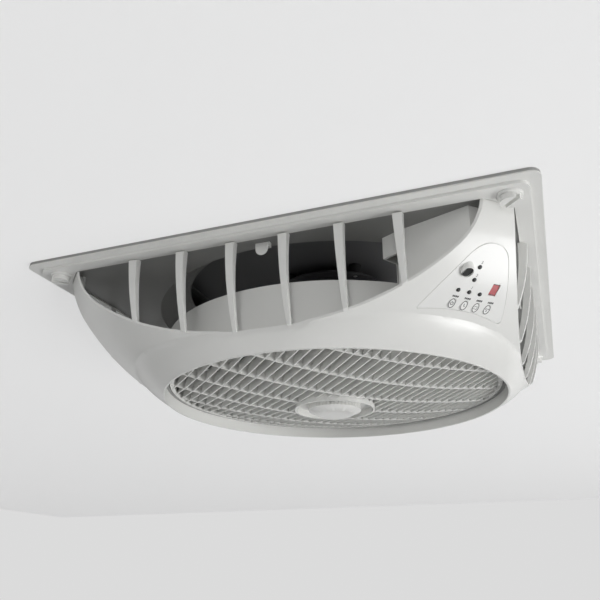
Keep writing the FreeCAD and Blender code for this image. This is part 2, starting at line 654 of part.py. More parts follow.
def inlet_outline(name, inset, height, z):
    """A block as wide as the field's inner edge, with its corners rounded along the legs."""
    square = box(name + "_square", f"2 * (field_inner - {inset})", f"2 * (field_inner - {inset})", height,
                 z=z)
    return common(name, square, cylinder(name + "_round", f"bowl_top_radius + seat_gap - {inset}", height,
                                         z=z))


def inlet_plate():
    """The sheet behind the open sides, with the round inlet of the fan."""
    sheet_z = "inlet_under"
    plate = inlet_outline("inlet_sheet_blank", "seat_gap", "inlet_sheet", sheet_z)
    bores = [cylinder("inlet_opening", "inlet_radius", "inlet_sheet", z=sheet_z)]
    bores += [cylinder(f"inlet_leg_bore_{index}", "leg_screw_radius", "inlet_sheet", x, y, sheet_z)
              for index, (x, y) in enumerate(leg_bosses())]
    return node(cut("inlet_plate", plate, fuse("inlet_bores", *bores)), "inlet_plate")


def inlet_cone():
    """A spun ring that leads up from the round opening of the inlet plate."""
    base, top = "inlet_under + inlet_sheet", "inlet_under + inlet_sheet + cone_height"
    lip = "cone_top_radius - cone_lip"
    node(turned("inlet_cone", [
        ("inlet_radius", base), ("inlet_radius + cone_foot", base),
        ("inlet_radius + cone_foot", f"{base} + cone_sheet"),
        ("inlet_radius + cone_sheet", f"{base} + cone_sheet"),
        ("cone_top_radius + cone_sheet", top), (lip, top), (lip, f"{top} - cone_sheet"),
        ("cone_top_radius", f"{top} - cone_sheet")]), "inlet_cone")


def leg_bosses():
    """Places of the screw boss of each leg."""
    return on_circle("leg_boss_at", 4, 45)


def leg_screws():
    screws = []
    for index, (x, y) in enumerate(leg_bosses()):
        shank = cylinder(f"leg_shank_{index}", "leg_screw_radius", "leg_screw_length + inlet_sheet", x, y,
                         "inlet_under - leg_screw_length")
        head = cylinder(f"leg_head_{index}", "leg_head_radius", "leg_head_height", x, y,
                        "inlet_under + inlet_sheet")
        screws.append(fuse(f"leg_screw_{index}", shank, head))
    return node(group("leg_screws", screws), "leg_screws")


def upper_pan():
    pan_half = "pan_side / 2"
    outside = padded("pan_outside", "XY_Plane", rounded_square(pan_half, "pan_corner"),
                     "pan_height - pan_foot", "pan_foot")
    inside = padded("pan_inside", "XY_Plane",
                    rounded_square(f"{pan_half} - pan_sheet", "pan_corner - pan_sheet"),
                    "pan_under - pan_foot", "pan_foot")
    foot = padded("pan_foot_sheet", "XY_Plane", rounded_square(f"{pan_half} + pan_flange", "pan_corner"),
                  "pan_sheet", "pan_foot")
    shape = cut("pan_hollow", fuse("pan_solid", outside, foot), inside)
    holes = [cylinder(f"pan_knob_hole_{index}", "stem_radius + seat_gap", "pan_sheet", x, y, "pan_foot")
             for index, (x, y) in enumerate(at_corners("knob_at"))]
    holes += [box(f"pan_cam_slot_{index}", "cam_width + 2 * seat_gap", "cam_length + 2 * seat_gap",
                  "pan_sheet",
                  x, y, "pan_foot") for index, (x, y) in enumerate(at_corners("knob_at"))]
    holes += [cylinder(f"pan_hanger_hole_{index}", "hanger_hole", "pan_sheet", x, y, "pan_under")
              for index, (x, y) in enumerate(at_corners("hanger_at"))]
    holes += [cylinder(f"pan_isolator_hole_{index}", "isolator_screw", "pan_sheet", x, y, "pan_under")
              for index, (x, y) in enumerate(on_circle("isolator_at", 4, 45))]
    holes.append(cylinder("pan_cable_hole", "gland_thread", "pan_sheet", "terminal_x", "terminal_y",
                          "pan_under"))
    return node(cut("upper_pan", shape, fuse("pan_holes", *holes)), "upper_pan")


def hanger_plates():
    plates = []
    for index, (x, y) in enumerate(at_corners("hanger_at")):
        plate = box(f"hanger_sheet_{index}", "hanger_side", "hanger_side", "hanger_thick", x, y, "pan_height")
        hole = cylinder(f"hanger_bore_{index}", "hanger_hole", "hanger_thick", x, y, "pan_height")
        plates.append(cut(f"hanger_plate_{index}", plate, hole))
    return node(group("hanger_plates", plates), "hanger_plates")


# ---------------------------------------------------------------- body shell

def bowl_outline(inset, closing):
    """The bowl's outline from the panel down to the crease, set in from the outer surface, then the
    corners that close it."""
    return [(f"bowl_top_radius - {inset}", "inlet_under", f"shoulder_arc - {inset}", -1),
            (f"shoulder_radius - 0.7 * {inset}", f"shoulder_z + 0.7 * {inset}", f"flank_arc - {inset}", -1),
            (f"crease_radius - 0.5 * {inset}", f"crease_z + 0.9 * {inset}")] + closing


def bowl_solid(name, inset):
    """The bowl as a full solid, set in from the outer surface."""
    return turned(name, [("0", "inlet_under")] + bowl_outline(inset, [("0", f"crease_z + 0.9 * {inset}")]))


def ring_section(body, name, half, corner, z, inset):
    """A round-cornered square through the ring at one level; corner is the distance of its corners."""
    side, far = f"{half} - {inset}", f"{corner} - {inset}"
    sketch = new_sketch(body, name, "XY_Plane", z)
    draw_loop(sketch, rounded_square(side, f"(({side}) * sqrt(2) - ({far})) / (sqrt(2) - 1)"))
    return sketch


def ring_solid(name, inset):
    """The swelling round the outlet, nearly square where it leaves the bowl and round at its foot."""
    body = new_body(name)
    levels = [("ring_top_half", "ring_top_corner", "field_z - ring_top_drop"),
              ("ring_mid_half", "ring_mid_corner", f"field_z - ring_mid_drop + 0.6 * {inset}"),
              ("ring_low_half", "ring_low_corner", f"field_z - ring_low_drop + 0.8 * {inset}"),
              ("rim_radius + ring_foot + 0.02", "rim_radius + ring_foot + 0.04", f"rim_z + {inset}")]
    shrink = [inset, inset, inset, "0"]
    sections = [ring_section(body, f"{name}_level_{index}", half, corner, z, inner)
                for index, ((half, corner, z), inner) in enumerate(zip(levels, shrink))]
    loft = body.newObject("PartDesign::AdditiveLoft", name + "_loft")
    loft.Profile = sections[0]
    loft.Sections = sections[1:]
    loft.Ruled = False
    body.Tip = loft
    return body


def side_prism(name, plane):
    """A long block as wide as the body between two opposite side openings."""
    low = "field_z - rim_drop - 5"
    corners = [("side_top_half", "0"), ("side_top_half", "field_z", "side_arc", -1),
               ("side_low_half", "side_low_z"), ("side_low_half", low),
               ("-side_low_half", low), ("-side_low_half", "side_low_z", "side_arc", -1),
               ("-side_top_half", "field_z"), ("-side_top_half", "0")]
    return padded(name, plane, corners, "2 * through", "-through")


def body_shell():
    outer = fuse("shell_outside", bowl_solid("bowl_outer", "0"), ring_solid("ring_outer", "0"))
    inner = fuse("shell_inside", bowl_solid("bowl_inner", "shell_wall"),
                 ring_solid("ring_inner", "shell_wall"),
                 cylinder("outlet", "rim_radius", "through", z="-through"))
    wall_outer = "rim_radius + outlet_wall"
    collar = turned("outlet_collar", [("rim_radius", "rim_z"), (wall_outer, "rim_z"),
                                      (wall_outer, "collar_top - outlet_wall"),
                                      ("collar_flange", "collar_top - outlet_wall"),
                                      ("collar_flange", "collar_top"), ("rim_radius", "collar_top")])
    bosses = [cylinder(f"leg_boss_{index}", "leg_boss_radius", "leg_boss_height", x, y,
                       "inlet_under - leg_boss_height") for index, (x, y) in enumerate(leg_bosses())]
    bosses = common("leg_bosses_in_bowl", fuse("leg_bosses", *bosses), bowl_solid("bowl_cover", "0.2"))
    shape = common("bowl_between_sides",
                   fuse("bowl_with_bosses", cut("bowl_wall", outer, inner), bosses, board_posts(), collar),
                   side_prism("side_prism_x", "XZ_Plane"), side_prism("side_prism_y", "YZ_Plane"))
    tools = [cylinder(f"leg_screw_bore_{index}", "leg_screw_radius", "leg_screw_length", x, y,
                      "inlet_under - leg_screw_length") for index, (x, y) in enumerate(leg_bosses())]
    tools += [cylinder(f"collar_screw_bore_{index}", "shroud_screw_radius + shroud_hole_play", "outlet_wall",
                       x, y, "collar_top - outlet_wall")
              for index, (x, y) in enumerate(shroud_screw_places())]
    tools += [fascia_recess(), control_bores("shell_control_bores", "-40", "30")]
    return node(cut("body_shell", shape, fuse("shell_tools", *tools)), "body_shell")


# ---------------------------------------------------------------- intake grilles

def rib_pair(body, name, middle, half, drop, arc):
    """Two upright ribs at equal distances from the middle of the front side, still of even width."""
    end_z = f"field_z - {drop}"
    sketch = new_sketch(body, name + "_profile", "YZ_Plane", f"{middle} - rib_top_width / 2")
    draw_loop(sketch, [("-(rib_top_half - rib_top_seat)", "field_z"),
                       ("-rib_top_half", "field_z - rib_top_fall", arc, 1),
                       (f"-{half}", end_z), (f"-{half}", f"{end_z} - rib_root"),
                       (f"-({half} - rib_low_depth)", f"{end_z} - rib_root"),
                       (f"-({half} - rib_low_depth)", end_z, f"{arc} - rib_low_depth", -1),
                       ("-(rib_top_half - rib_top_depth)", "field_z")])
    pad = body.newObject("PartDesign::Pad", name + "_pad")
    pad.Profile = sketch
    bind(pad, Length="rib_top_width")
    mirror = body.newObject("PartDesign::Mirrored", name + "_mirror")
    mirror.Originals = [pad]
    mirror.MirrorPlane = (next(item for item in body.Origin.OriginFeatures if item.Role == "YZ_Plane"), [""])
    body.Tip = mirror


def intake_grille(side, quarter, shell, bowl):
    """Six upright ribs between one edge of the panel and the shell; quarter turns them to their side."""
    name = "intake_grille_" + side
    low = "side_low_z - 10"
    body = new_body(name + "_ribs")
    rib_pair(body, name + "_inner", "0.5 * rib_pitch", "inner_rib_half", "inner_rib_drop", "inner_rib_arc")
    rib_pair(body, name + "_middle", "1.5 * rib_pitch", "middle_rib_half", "middle_rib_drop",
             "middle_rib_arc")
    rib_pair(body, name + "_outer", "2.5 * rib_pitch", "outer_rib_half", "outer_rib_drop", "outer_rib_arc")
    middles = [f"{step} * rib_pitch" for step in (-2.5, -1.5, -0.5, 0.5, 1.5, 2.5)]
    comb = [("3 * rib_pitch", "0"), ("-3 * rib_pitch", "0"), ("-3 * rib_pitch", "field_z")]
    for middle in middles:
        comb += [(f"{middle} - rib_top_width / 2", "field_z"), (f"{middle} - rib_low_width / 2", low),
                 (f"{middle} + rib_low_width / 2", low), (f"{middle} + rib_top_width / 2", "field_z")]
    comb.append(("3 * rib_pitch", "field_z"))
    front = padded(name + "_comb", "XZ_Plane", comb, "through", "0")
    ribs = common(name + "_tapered", front, body)
    turn_z(ribs, 90.0 * quarter)
    inside = common(name + "_in_bowl", ribs, bowl)
    return node(cut(name, inside, shell), name)


# ---------------------------------------------------------------- corner knobs and hooks

def knob_collars():
    collars = []
    for index, (x, y) in enumerate(at_corners("knob_at")):
        body = cone(f"collar_cone_{index}", "collar_top_radius", "collar_radius", "knob_collar_height", x, y,
                    "field_z - knob_collar_height")
        bore = cylinder(f"collar_bore_{index}", "stem_radius + running_fit", "knob_collar_height", x, y,
                        "field_z - knob_collar_height")
        collars.append(cut(f"knob_collar_{index}", body, bore))
    return node(group("knob_collars", collars), "knob_collars")


def corner_knob(name, x, y, slot_angle):
    """A quarter-turn knob; its slot points at the middle of the panel."""
    head_top = "field_z - knob_collar_height - running_fit"
    head = cylinder(name + "_head", "knob_radius", "knob_height")
    slot = box(name + "_slot", "2 * knob_radius", "knob_slot_width", "knob_slot_depth")
    slotted = cut(name + "_slotted", head, slot)
    turn_z(slotted, slot_angle)
    place(slotted, x, y, f"{head_top} - knob_height")
    stem = cylinder(name + "_stem", "stem_radius", f"pan_foot_top + stem_height - ({head_top})", x, y,
                    head_top)
    cam = box(name + "_cam", "cam_length", "cam_width", "cam_height", x, y, "pan_foot_top + cam_gap")
    return node(fuse(name, slotted, stem, cam), name)


def safety_hooks():
    """A block under the inlet plate at the middle of each side, with a D-shaped tab hanging before it."""
    hooks = []
    tab_top = "inlet_under - hook_foot_height + hook_overlap"
    straight = "hook_drop - hook_foot_height + hook_overlap - hook_width / 2"
    for quarter in range(4):
        name = f"safety_hook_{quarter}"
        tab = box(name + "_tab", "hook_width", "hook_thick", straight, "0", "-hook_at",
                  f"{tab_top} - ({straight})")
        nose = cylinder(name + "_nose", "hook_width / 2", "hook_thick")
        nose.Angle = 180.0
        nose.Placement.Rotation = FreeCAD.Rotation(FreeCAD.Vector(1, 0, 0), -90)
        place(nose, "0", "-hook_at - hook_thick / 2", f"{tab_top} - ({straight})")
        foot = box(name + "_foot", "hook_foot_width", "hook_foot_depth", "hook_foot_height", "0",
                   "-hook_at + (hook_thick + hook_foot_depth) / 2", "inlet_under - hook_foot_height")
        hook = fuse(name, tab, nose, foot)
        turn_z(hook, 90.0 * quarter)
        hooks.append(hook)
    return node(group("safety_hooks", hooks), "safety_hooks")


# ---------------------------------------------------------------- shroud and louvre drive

def shroud_screw_places():
    return on_circle("shroud_screws_at", int(value("shroud_screw_count")), 22.5)


def screw_bores(name, height, z):
    bores = [cylinder(f"{name}_{index}", "shroud_screw_radius + shroud_hole_play", height, x, y, z)
             for index, (x, y) in enumerate(shroud_screw_places())]
    return fuse(name, *bores)


def fan_shroud():
    inner = "shroud_radius - shroud_wall"
    duct = turned("shroud_duct", [(inner, "support_top"), ("collar_flange", "support_top"),
                                  ("collar_flange", "support_top + shroud_flange"),
                                  ("shroud_radius", "support_top + shroud_flange"),
                                  ("shroud_radius", "shroud_top"), (inner, "shroud_top")])
    return node(cut("fan_shroud", duct, screw_bores("shroud_bores", "shroud_flange", "support_top")),
                "fan_shroud")


def louvre_support():
    """A flat ring with an upright wall inside the shroud and two crossed arms at the top of the wall."""
    rim = ring("support_rim", "collar_flange", "support_inner", "support_thick", z="collar_top")
    wall = ring("support_upright", "support_inner + support_wall", "support_inner",
                "support_rise + support_thick", z="collar_top")
    hub = cylinder("support_hub", "support_hub", "support_thick", z="arm_low")
    span = "2 * support_inner + support_wall"
    arms = [box("support_arm_along_x", span, "support_arm", "support_thick", z="arm_low"),
            box("support_arm_along_y", "support_arm", span, "support_thick", z="arm_low")]
    shape = fuse("support_solid", rim, wall, hub, *arms)
    tools = [screw_bores("support_bores", "support_thick", "collar_top")]
    tools += [cylinder(f"support_motor_bore_{index}", "louvre_screw_radius", "support_thick", x, y, "arm_low")
              for index, (x, y) in enumerate(on_circle("louvre_ear_at", 2, 45))]
    return node(cut("louvre_support", shape, fuse("support_tools", *tools)), "louvre_support")


def shroud_fasteners():
    screws, nuts = [], []
    head_foot = "support_top + shroud_flange"
    nut_foot = "collar_top - outlet_wall - shroud_nut_height"
    for index, (x, y) in enumerate(shroud_screw_places()):
        shank = cylinder(f"shroud_shank_{index}", "shroud_screw_radius", f"{head_foot} - ({nut_foot})", x, y,
                         nut_foot)
        head = cylinder(f"shroud_head_{index}", "shroud_head_radius", "shroud_head_height", x, y, head_foot)
        screws.append(fuse(f"shroud_screw_{index}", shank, head))
        hexagon = prism(f"shroud_nut_blank_{index}", 6, "shroud_nut_radius", "shroud_nut_height", x, y,
                        nut_foot)
        bore = cylinder(f"shroud_nut_bore_{index}", "shroud_screw_radius", "shroud_nut_height", x, y,
                        nut_foot)
        nuts.append(cut(f"shroud_nut_{index}", hexagon, bore))
    node(group("shroud_screws", screws), "shroud_screws")
    node(group("shroud_nuts", nuts), "shroud_nuts")


def louvre_motor():
    can = cylinder("louvre_motor_can", "louvre_motor_radius", "louvre_motor_height", z="louvre_motor_low")
    ears, bores = [], [cylinder("louvre_motor_bore", "spindle_radius + running_fit", "louvre_motor_height",
                                z="louvre_motor_low")]
    screws = []
    ear_foot = "arm_low - louvre_ear_height"
    for index, (x, y) in enumerate(on_circle("louvre_ear_at", 2, 45)):
        ears.append(cylinder(f"louvre_ear_{index}", "louvre_ear_radius + 2", "louvre_ear_height", x, y,
                             ear_foot))
        bores.append(cylinder(f"louvre_ear_bore_{index}", "louvre_screw_radius", "louvre_ear_height", x, y,
                              ear_foot))
        shank = cylinder(f"louvre_shank_{index}", "louvre_screw_radius", "louvre_ear_height + support_thick",
                         x, y, ear_foot)
        head = cylinder(f"louvre_screw_head_{index}", "louvre_head_radius", "louvre_head_height", x, y,
                        f"{ear_foot} - louvre_head_height")
        screws.append(fuse(f"louvre_motor_screw_{index}", shank, head))
    shape = cut("louvre_motor", fuse("louvre_motor_body", can, *ears), fuse("louvre_motor_bores", *bores))
    node(shape, "louvre_motor")
    node(group("louvre_motor_screws", screws), "louvre_motor_screws")


def louvre_spindle():
    rod = cylinder("spindle_rod", "spindle_radius", "arm_low - 1 - (cap_top - cap_side)",
                   z="cap_top - cap_side")
    shoulder = cylinder("spindle_collar", "spindle_shoulder", "spindle_shoulder_height", z="cup_floor_top")
    return node(fuse("louvre_spindle", rod, shoulder), "louvre_spindle")


def louvre_wheel():
    frame_inner = "wheel_radius - wheel_frame"
    sphere = "wheel_sphere"
    lens = turned("wheel_lens", [("0", "wheel_middle", sphere, 1), ("wheel_radius", "wheel_edge"),
                                 ("wheel_radius", "wheel_top", sphere, -1),
                                 ("0", "wheel_middle + wheel_depth")])
    blade_low, blade_top = "wheel_middle - 2", "wheel_top + 2"
    blade_left = "blade_offset - blade_pitch * (blade_count - 1) / 2"
    lean = "blade_lean * (wheel_dome + wheel_depth + 4) / wheel_depth"
    blades = padded("wheel_blades", "XZ_Plane",
                    [(f"{blade_left} - blade_thick / 2", blade_low),
                     (f"{blade_left} + blade_thick / 2", blade_low),
                     (f"{blade_left} + blade_thick / 2 + {lean}", blade_top),
                     (f"{blade_left} - blade_thick / 2 + {lean}", blade_top)],
                    "2 * wheel_radius", "-wheel_radius")
    patterned(blades, blades.Tip, "LinearPattern", "wheel_blade_row", "X_Axis",
              Length="blade_pitch * (blade_count - 1)", Occurrences="blade_count")
    rib_left = "-wheel_rib_pitch * (wheel_rib_count - 1) / 2"
    ribs = padded("wheel_ribs", "YZ_Plane",
                  [(f"{rib_left} - wheel_rib_thick / 2", blade_low),
                   (f"{rib_left} + wheel_rib_thick / 2", blade_low),
                   (f"{rib_left} + wheel_rib_thick / 2", blade_top),
                   (f"{rib_left} - wheel_rib_thick / 2", blade_top)],
                  "2 * wheel_radius", "-wheel_radius")
    patterned(ribs, ribs.Tip, "LinearPattern", "wheel_rib_row", "Y_Axis",
              Length="wheel_rib_pitch * (wheel_rib_count - 1)", Occurrences="wheel_rib_count")
    grid = common("wheel_grid", fuse("wheel_ribs_and_blades", ribs, blades), lens)
    grid = cut("wheel_open_grid", grid, cylinder("wheel_middle_hole", "cup_radius - cup_wall / 2", "through",
                                                 z="-through"))
    frame = ring("wheel_frame_ring", "wheel_radius", frame_inner, "wheel_depth", z="wheel_edge")
    cup_inner = "cup_radius - cup_wall"
    bore = "spindle_radius"
    cup = turned("wheel_cup", [(bore, "cup_floor_under"), (cup_inner, "cup_floor_under"),
                               (cup_inner, "cup_edge"),
                               ("cup_radius", "cup_edge"), ("cup_radius", "cup_edge + cup_height"),
                               (cup_inner, "cup_edge + cup_height"), (cup_inner, "cup_floor_top"),
                               (bore, "cup_floor_top")])
    wheel = fuse("louvre_wheel", grid, frame, cup)
    bind(wheel, Placement__Rotation__Angle="wheel_turn * 1 deg")
    return node(wheel, "louvre_wheel")


def louvre_cap():
    """A hollow cap screwed on the spindle, with a fluted side to hold it by."""
    inner, nose_inner = "cap_radius - cap_wall", "cap_nose_radius - cap_wall / 2"
    boss, bore = "cap_boss_radius", "spindle_radius"
    body = turned("cap_body", [(bore, "cap_top"), (boss, "cap_top"), (boss, "cap_nose + cap_wall"),
                               (nose_inner, "cap_nose + cap_wall"), (inner, "cap_low"),
                               (inner, "cap_top - 1"),
                               ("cap_radius", "cap_top - 1"), ("cap_radius", "cap_low"),
                               ("cap_nose_radius", "cap_nose"), ("0", "cap_nose"),
                               ("0", "cap_top - cap_side"),
                               (bore, "cap_top - cap_side")])
    flute = body.newObject("Sketcher::SketchObject", "cap_flute")
    flute.AttachmentSupport = [(next(item for item in body.Origin.OriginFeatures if item.Role == "XY_Plane"), "")]
    flute.MapMode = "FlatFace"
    bind(flute, AttachmentOffset__Base__z="cap_low")
    draw_circle(flute, "cap_radius", "0", "flute_radius")
    pocket = body.newObject("PartDesign::Pocket", "cap_flute_pocket")
    pocket.Profile = flute
    bind(pocket, Length="cap_side")
    pocket.Reversed = True
    patterned(body, pocket, "PolarPattern", "cap_flutes", "Z_Axis", Occurrences="flute_count")
    return node(body, "louvre_cap")


# ---------------------------------------------------------------- impeller and motor

def blade_section(chord, pitch):
    """Four corners of a flat blade section across Y and Z, at the middle of the hub's height."""
    half, thick = f"{chord} / 2", "impeller_blade_thick / 2"
    middle = "impeller_top - impeller_hub_height / 2"
    turn = f"{pitch} * 1 deg"
    corners = []
    for along, across in ((-1, -1), (1, -1), (1, 1), (-1, 1)):
        y = f"{along} * {half} * cos({turn}) - ({across}) * {thick} * sin({turn})"
        z = f"{middle} + {along} * {half} * sin({turn}) + ({across}) * {thick} * cos({turn})"
        corners.append((y, z))
    return corners


def impeller():
    hub_inner = "impeller_hub - impeller_wall"
    floor = "impeller_low + impeller_wall"
    body = turned("impeller", [("shaft_radius", "impeller_low"), ("impeller_hub", "impeller_low"),
                               ("impeller_hub", "impeller_top"), (hub_inner, "impeller_top"),
                               (hub_inner, floor),
                               ("impeller_boss", floor), ("impeller_boss", "impeller_top - impeller_wall"),
                               ("shaft_radius", "impeller_top - impeller_wall")])
    root = new_sketch(body, "impeller_root", "YZ_Plane", "impeller_hub - impeller_wall / 2")
    draw_loop(root, blade_section("impeller_root_chord", "impeller_root_pitch"))
    tip = new_sketch(body, "impeller_tip", "YZ_Plane", "impeller_radius")
    draw_loop(tip, blade_section("impeller_tip_chord", "impeller_tip_pitch"))
    blade = body.newObject("PartDesign::AdditiveLoft", "impeller_blade")
    blade.Profile = root
    blade.Sections = [tip]
    blade.Ruled = True
    patterned(body, blade, "PolarPattern", "impeller_blade_set", "Z_Axis", Occurrences="impeller_blades")
    node(body, "impeller")
    blank = prism("impeller_nut_blank", 6, "impeller_nut_radius", "impeller_nut_height", z="nut_low")
    bore = cylinder("impeller_nut_bore", "shaft_radius", "impeller_nut_height", z="nut_low")
    node(cut("impeller_nut", blank, bore), "impeller_nut")


def motor_housings():
    inner = "motor_radius - motor_wall"
    seat = "bearing_radius + bearing_seat"
    shoulder = "bearing_radius - 3"
    upper = turned("motor_upper_housing", [
        ("0", "plate_low"), ("motor_radius", "plate_low"), ("motor_radius", "motor_mid + motor_flange_thick"),
        ("motor_flange", "motor_mid + motor_flange_thick"), ("motor_flange", "motor_mid"),
        (inner, "motor_mid"),
        (inner, "plate_low - motor_wall"), (seat, "plate_low - motor_wall"), (seat, "upper_bearing_low"),
        ("bearing_radius", "upper_bearing_low"), ("bearing_radius", "shaft_top"), ("0", "shaft_top")])
    lower = turned("motor_lower_housing", [
        ("shaft_port", "motor_low"), ("motor_radius", "motor_low"),
        ("motor_radius", "motor_mid - motor_flange_thick"),
        ("motor_flange", "motor_mid - motor_flange_thick"),
        ("motor_flange", "motor_mid"), (inner, "motor_mid"), (inner, "lower_bearing_low"),
        (seat, "lower_bearing_low"), (seat, "lower_bearing_low + bearing_height"),
        ("bearing_radius", "lower_bearing_low + bearing_height"), ("bearing_radius", "lower_bearing_low"),
        ("shaft_port", "lower_bearing_low")])
    places = on_circle("motor_screw_at", 4, 0)
    screws = []
    for index, (x, y) in enumerate(places):
        shank = cylinder(f"motor_shank_{index}", "motor_screw_radius", "2 * motor_flange_thick", x, y,
                         "motor_mid - motor_flange_thick")
        head = cylinder(f"motor_head_{index}", "motor_screw_head", "motor_screw_head_height", x, y,
                        "motor_mid - motor_flange_thick - motor_screw_head_height")
        screws.append(fuse(f"motor_screw_{index}", shank, head))
    for housing, half, foot in ((upper, "upper", "motor_mid"),
                                (lower, "lower", "motor_mid - motor_flange_thick")):
        bores = [cylinder(f"motor_{half}_bore_{index}", "motor_screw_radius", "motor_flange_thick", x, y,
                          foot)
                 for index, (x, y) in enumerate(places)]
        housing.Label = f"motor_{half}_casting"
        node(cut(f"motor_{half}_housing_bored", housing, fuse(f"motor_{half}_bores", *bores)),
             f"motor_{half}_housing")
    node(group("motor_housing_screws", screws), "motor_housing_screws")


def motor_insides():
    inner = "motor_radius - motor_wall"
    node(ring("motor_stator", inner, "stator_inner", "stator_height", z="stator_low"), "motor_stator")
    coils = [ring(f"winding_{index}", "winding_outer", "winding_inner", "winding_height", z=foot)
             for index, foot in enumerate(("stator_low - winding_height", "stator_low + stator_height"))]
    node(group("motor_windings", coils), "motor_windings")
    node(ring("motor_rotor", "stator_inner - air_gap", "shaft_radius", "stator_height", z="stator_low"),
         "motor_rotor")
    node(cylinder("motor_shaft", "shaft_radius", "shaft_top - 0.5 - nut_low", z="nut_low"), "motor_shaft")
    for name, foot in (("motor_bearing_upper", "upper_bearing_low"),
                       ("motor_bearing_lower", "lower_bearing_low")):
        node(ring(name, "bearing_radius", "shaft_radius + running_fit", "bearing_height", z=foot), name)


def motor_mounting():
    places = on_circle("isolator_at", 4, 45)
    plate = cylinder("motor_plate_disc", "plate_radius", "plate_thick", z="plate_low")
    bores = [cylinder(f"plate_bore_{index}", "isolator_screw", "plate_thick", x, y, "plate_low")
             for index, (x, y) in enumerate(places)]
    node(cut("motor_plate", plate, fuse("plate_bores", *bores)), "motor_plate")
    isolators, screws = [], []
    for index, (x, y) in enumerate(places):
        isolators.append(ring(f"isolator_{index}", "isolator_radius", "isolator_screw", "isolator_height",
                              x, y,
                              "plate_top"))
        shank = cylinder(f"isolator_shank_{index}", "isolator_screw", "pan_height - plate_low", x, y,
                         "plate_low")
        head = cylinder(f"isolator_head_{index}", "isolator_head", "isolator_head_height", x, y, "pan_height")
        screws.append(fuse(f"isolator_screw_{index}", shank, head))
    node(group("motor_isolators", isolators), "motor_isolators")
    node(group("isolator_screws", screws), "isolator_screws")


def capacitor():
    x, y = "capacitor_x", "capacitor_y"
    node(cylinder("motor_capacitor", "capacitor_radius", "capacitor_height", x, y,
                  "pan_under - capacitor_height"),
         "motor_capacitor")
    node(ring("capacitor_clip", "capacitor_radius + clip_wall", "capacitor_radius", "clip_height", x, y,
              "pan_under - clip_height"), "capacitor_clip")


def terminal_box():
    x, y = "terminal_x", "terminal_y"
    outside = box("terminal_outside", "terminal_length", "terminal_width", "terminal_height", x, y,
                  "pan_height")
    inside = box("terminal_inside", "terminal_length - 2 * terminal_wall",
                 "terminal_width - 2 * terminal_wall",
                 "terminal_height - terminal_wall", x, y, "pan_height + terminal_wall")
    gland_z = "pan_height + terminal_height / 2"
    wall_y = "terminal_y + terminal_width / 2"
    through = cylinder("terminal_gland_hole", "gland_thread", "2 * terminal_wall")
    lay_along_y(through, x, f"{wall_y} + terminal_wall / 2", gland_z)
    wires = cylinder("terminal_wire_hole", "gland_thread", "terminal_wall", x, y, "pan_height")
    node(cut("terminal_box", outside, fuse("terminal_tools", inside, through, wires)), "terminal_box")
    node(box("terminal_box_cover", "terminal_length", "terminal_width", "cover_thick", x, y,
             "pan_height + terminal_height"), "terminal_box_cover")
    node(box("terminal_block", "block_length", "block_width", "block_height", x, "terminal_y - block_width",
             "pan_height + terminal_wall"), "terminal_block")
    nut = cylinder("gland_nut", "gland_radius", "gland_length")
    lay_along_y(nut, x, f"{wall_y} + gland_length", gland_z)
    thread = cylinder("gland_neck", "gland_thread", "gland_inside + terminal_wall")
    lay_along_y(thread, x, wall_y, gland_z)
    bore = cylinder("gland_hole", "gland_bore", "gland_inside + terminal_wall + gland_length")
    lay_along_y(bore, x, f"{wall_y} + gland_length", gland_z)
    node(cut("cable_gland", fuse("gland_solid", nut, thread), bore), "cable_gland")


def lay_along_y(obj, x, y, z):
    """Lay a cylinder from the given place towards -Y."""
    obj.Placement.Rotation = FreeCAD.Rotation(FreeCAD.Vector(1, 0, 0), 90)
    place(obj, x, y, z)


# ---------------------------------------------------------------- control panel

def slope_rotation(slope):
    """Axes across the leg, up a slope and outwards; the outward one falls by the slope in degrees."""
    angle = math.radians(value(slope))
    return FreeCAD.Rotation(
        FreeCAD.Vector(1, 1, 0),
        FreeCAD.Vector(math.sin(angle), -math.sin(angle), math.sqrt(2) * math.cos(angle)),
        FreeCAD.Vector(0, 0, 0), "XYZ")


CONTROL_ROTATION = slope_rotation("control_slope")


def control_point(u, v, w):
    """A place in the control frame: u across the leg, v up its slope, w outwards."""
    across, slope = "(1 / sqrt(2))", "(control_slope * 1 deg)"
    return (f"{across} * (control_radius + ({u}) + ({v}) * sin{slope} + ({w}) * cos{slope})",
            f"{across} * (-(control_radius) + ({u}) - ({v}) * sin{slope} - ({w}) * cos{slope})",
            f"control_z + ({v}) * cos{slope} - ({w}) * sin{slope}")


def on_control(obj, u="0", v="0", w="0"):
    """Place an object in the control frame."""
    obj.Placement.Rotation = CONTROL_ROTATION
    place(obj, *control_point(u, v, w))
    return obj


def board_posts():
    """Posts behind the wall of the leg that carry the control board."""
    left, right = "board_left + post_margin", "board_right - post_margin"
    places = [(left, "post_low"), (right, "post_low"), (left, "post_top_left"),
              ("board_right - board_notch_width - post_margin", "board_top - post_margin")]
    posts = [on_control(cylinder(f"board_post_{index}", "post_radius", "board_depth"), u, v, "board_face")
             for index, (u, v) in enumerate(places)]
    return common("board_posts_in_bowl", fuse("board_posts", *posts), bowl_solid("board_post_cover", "0.5"))


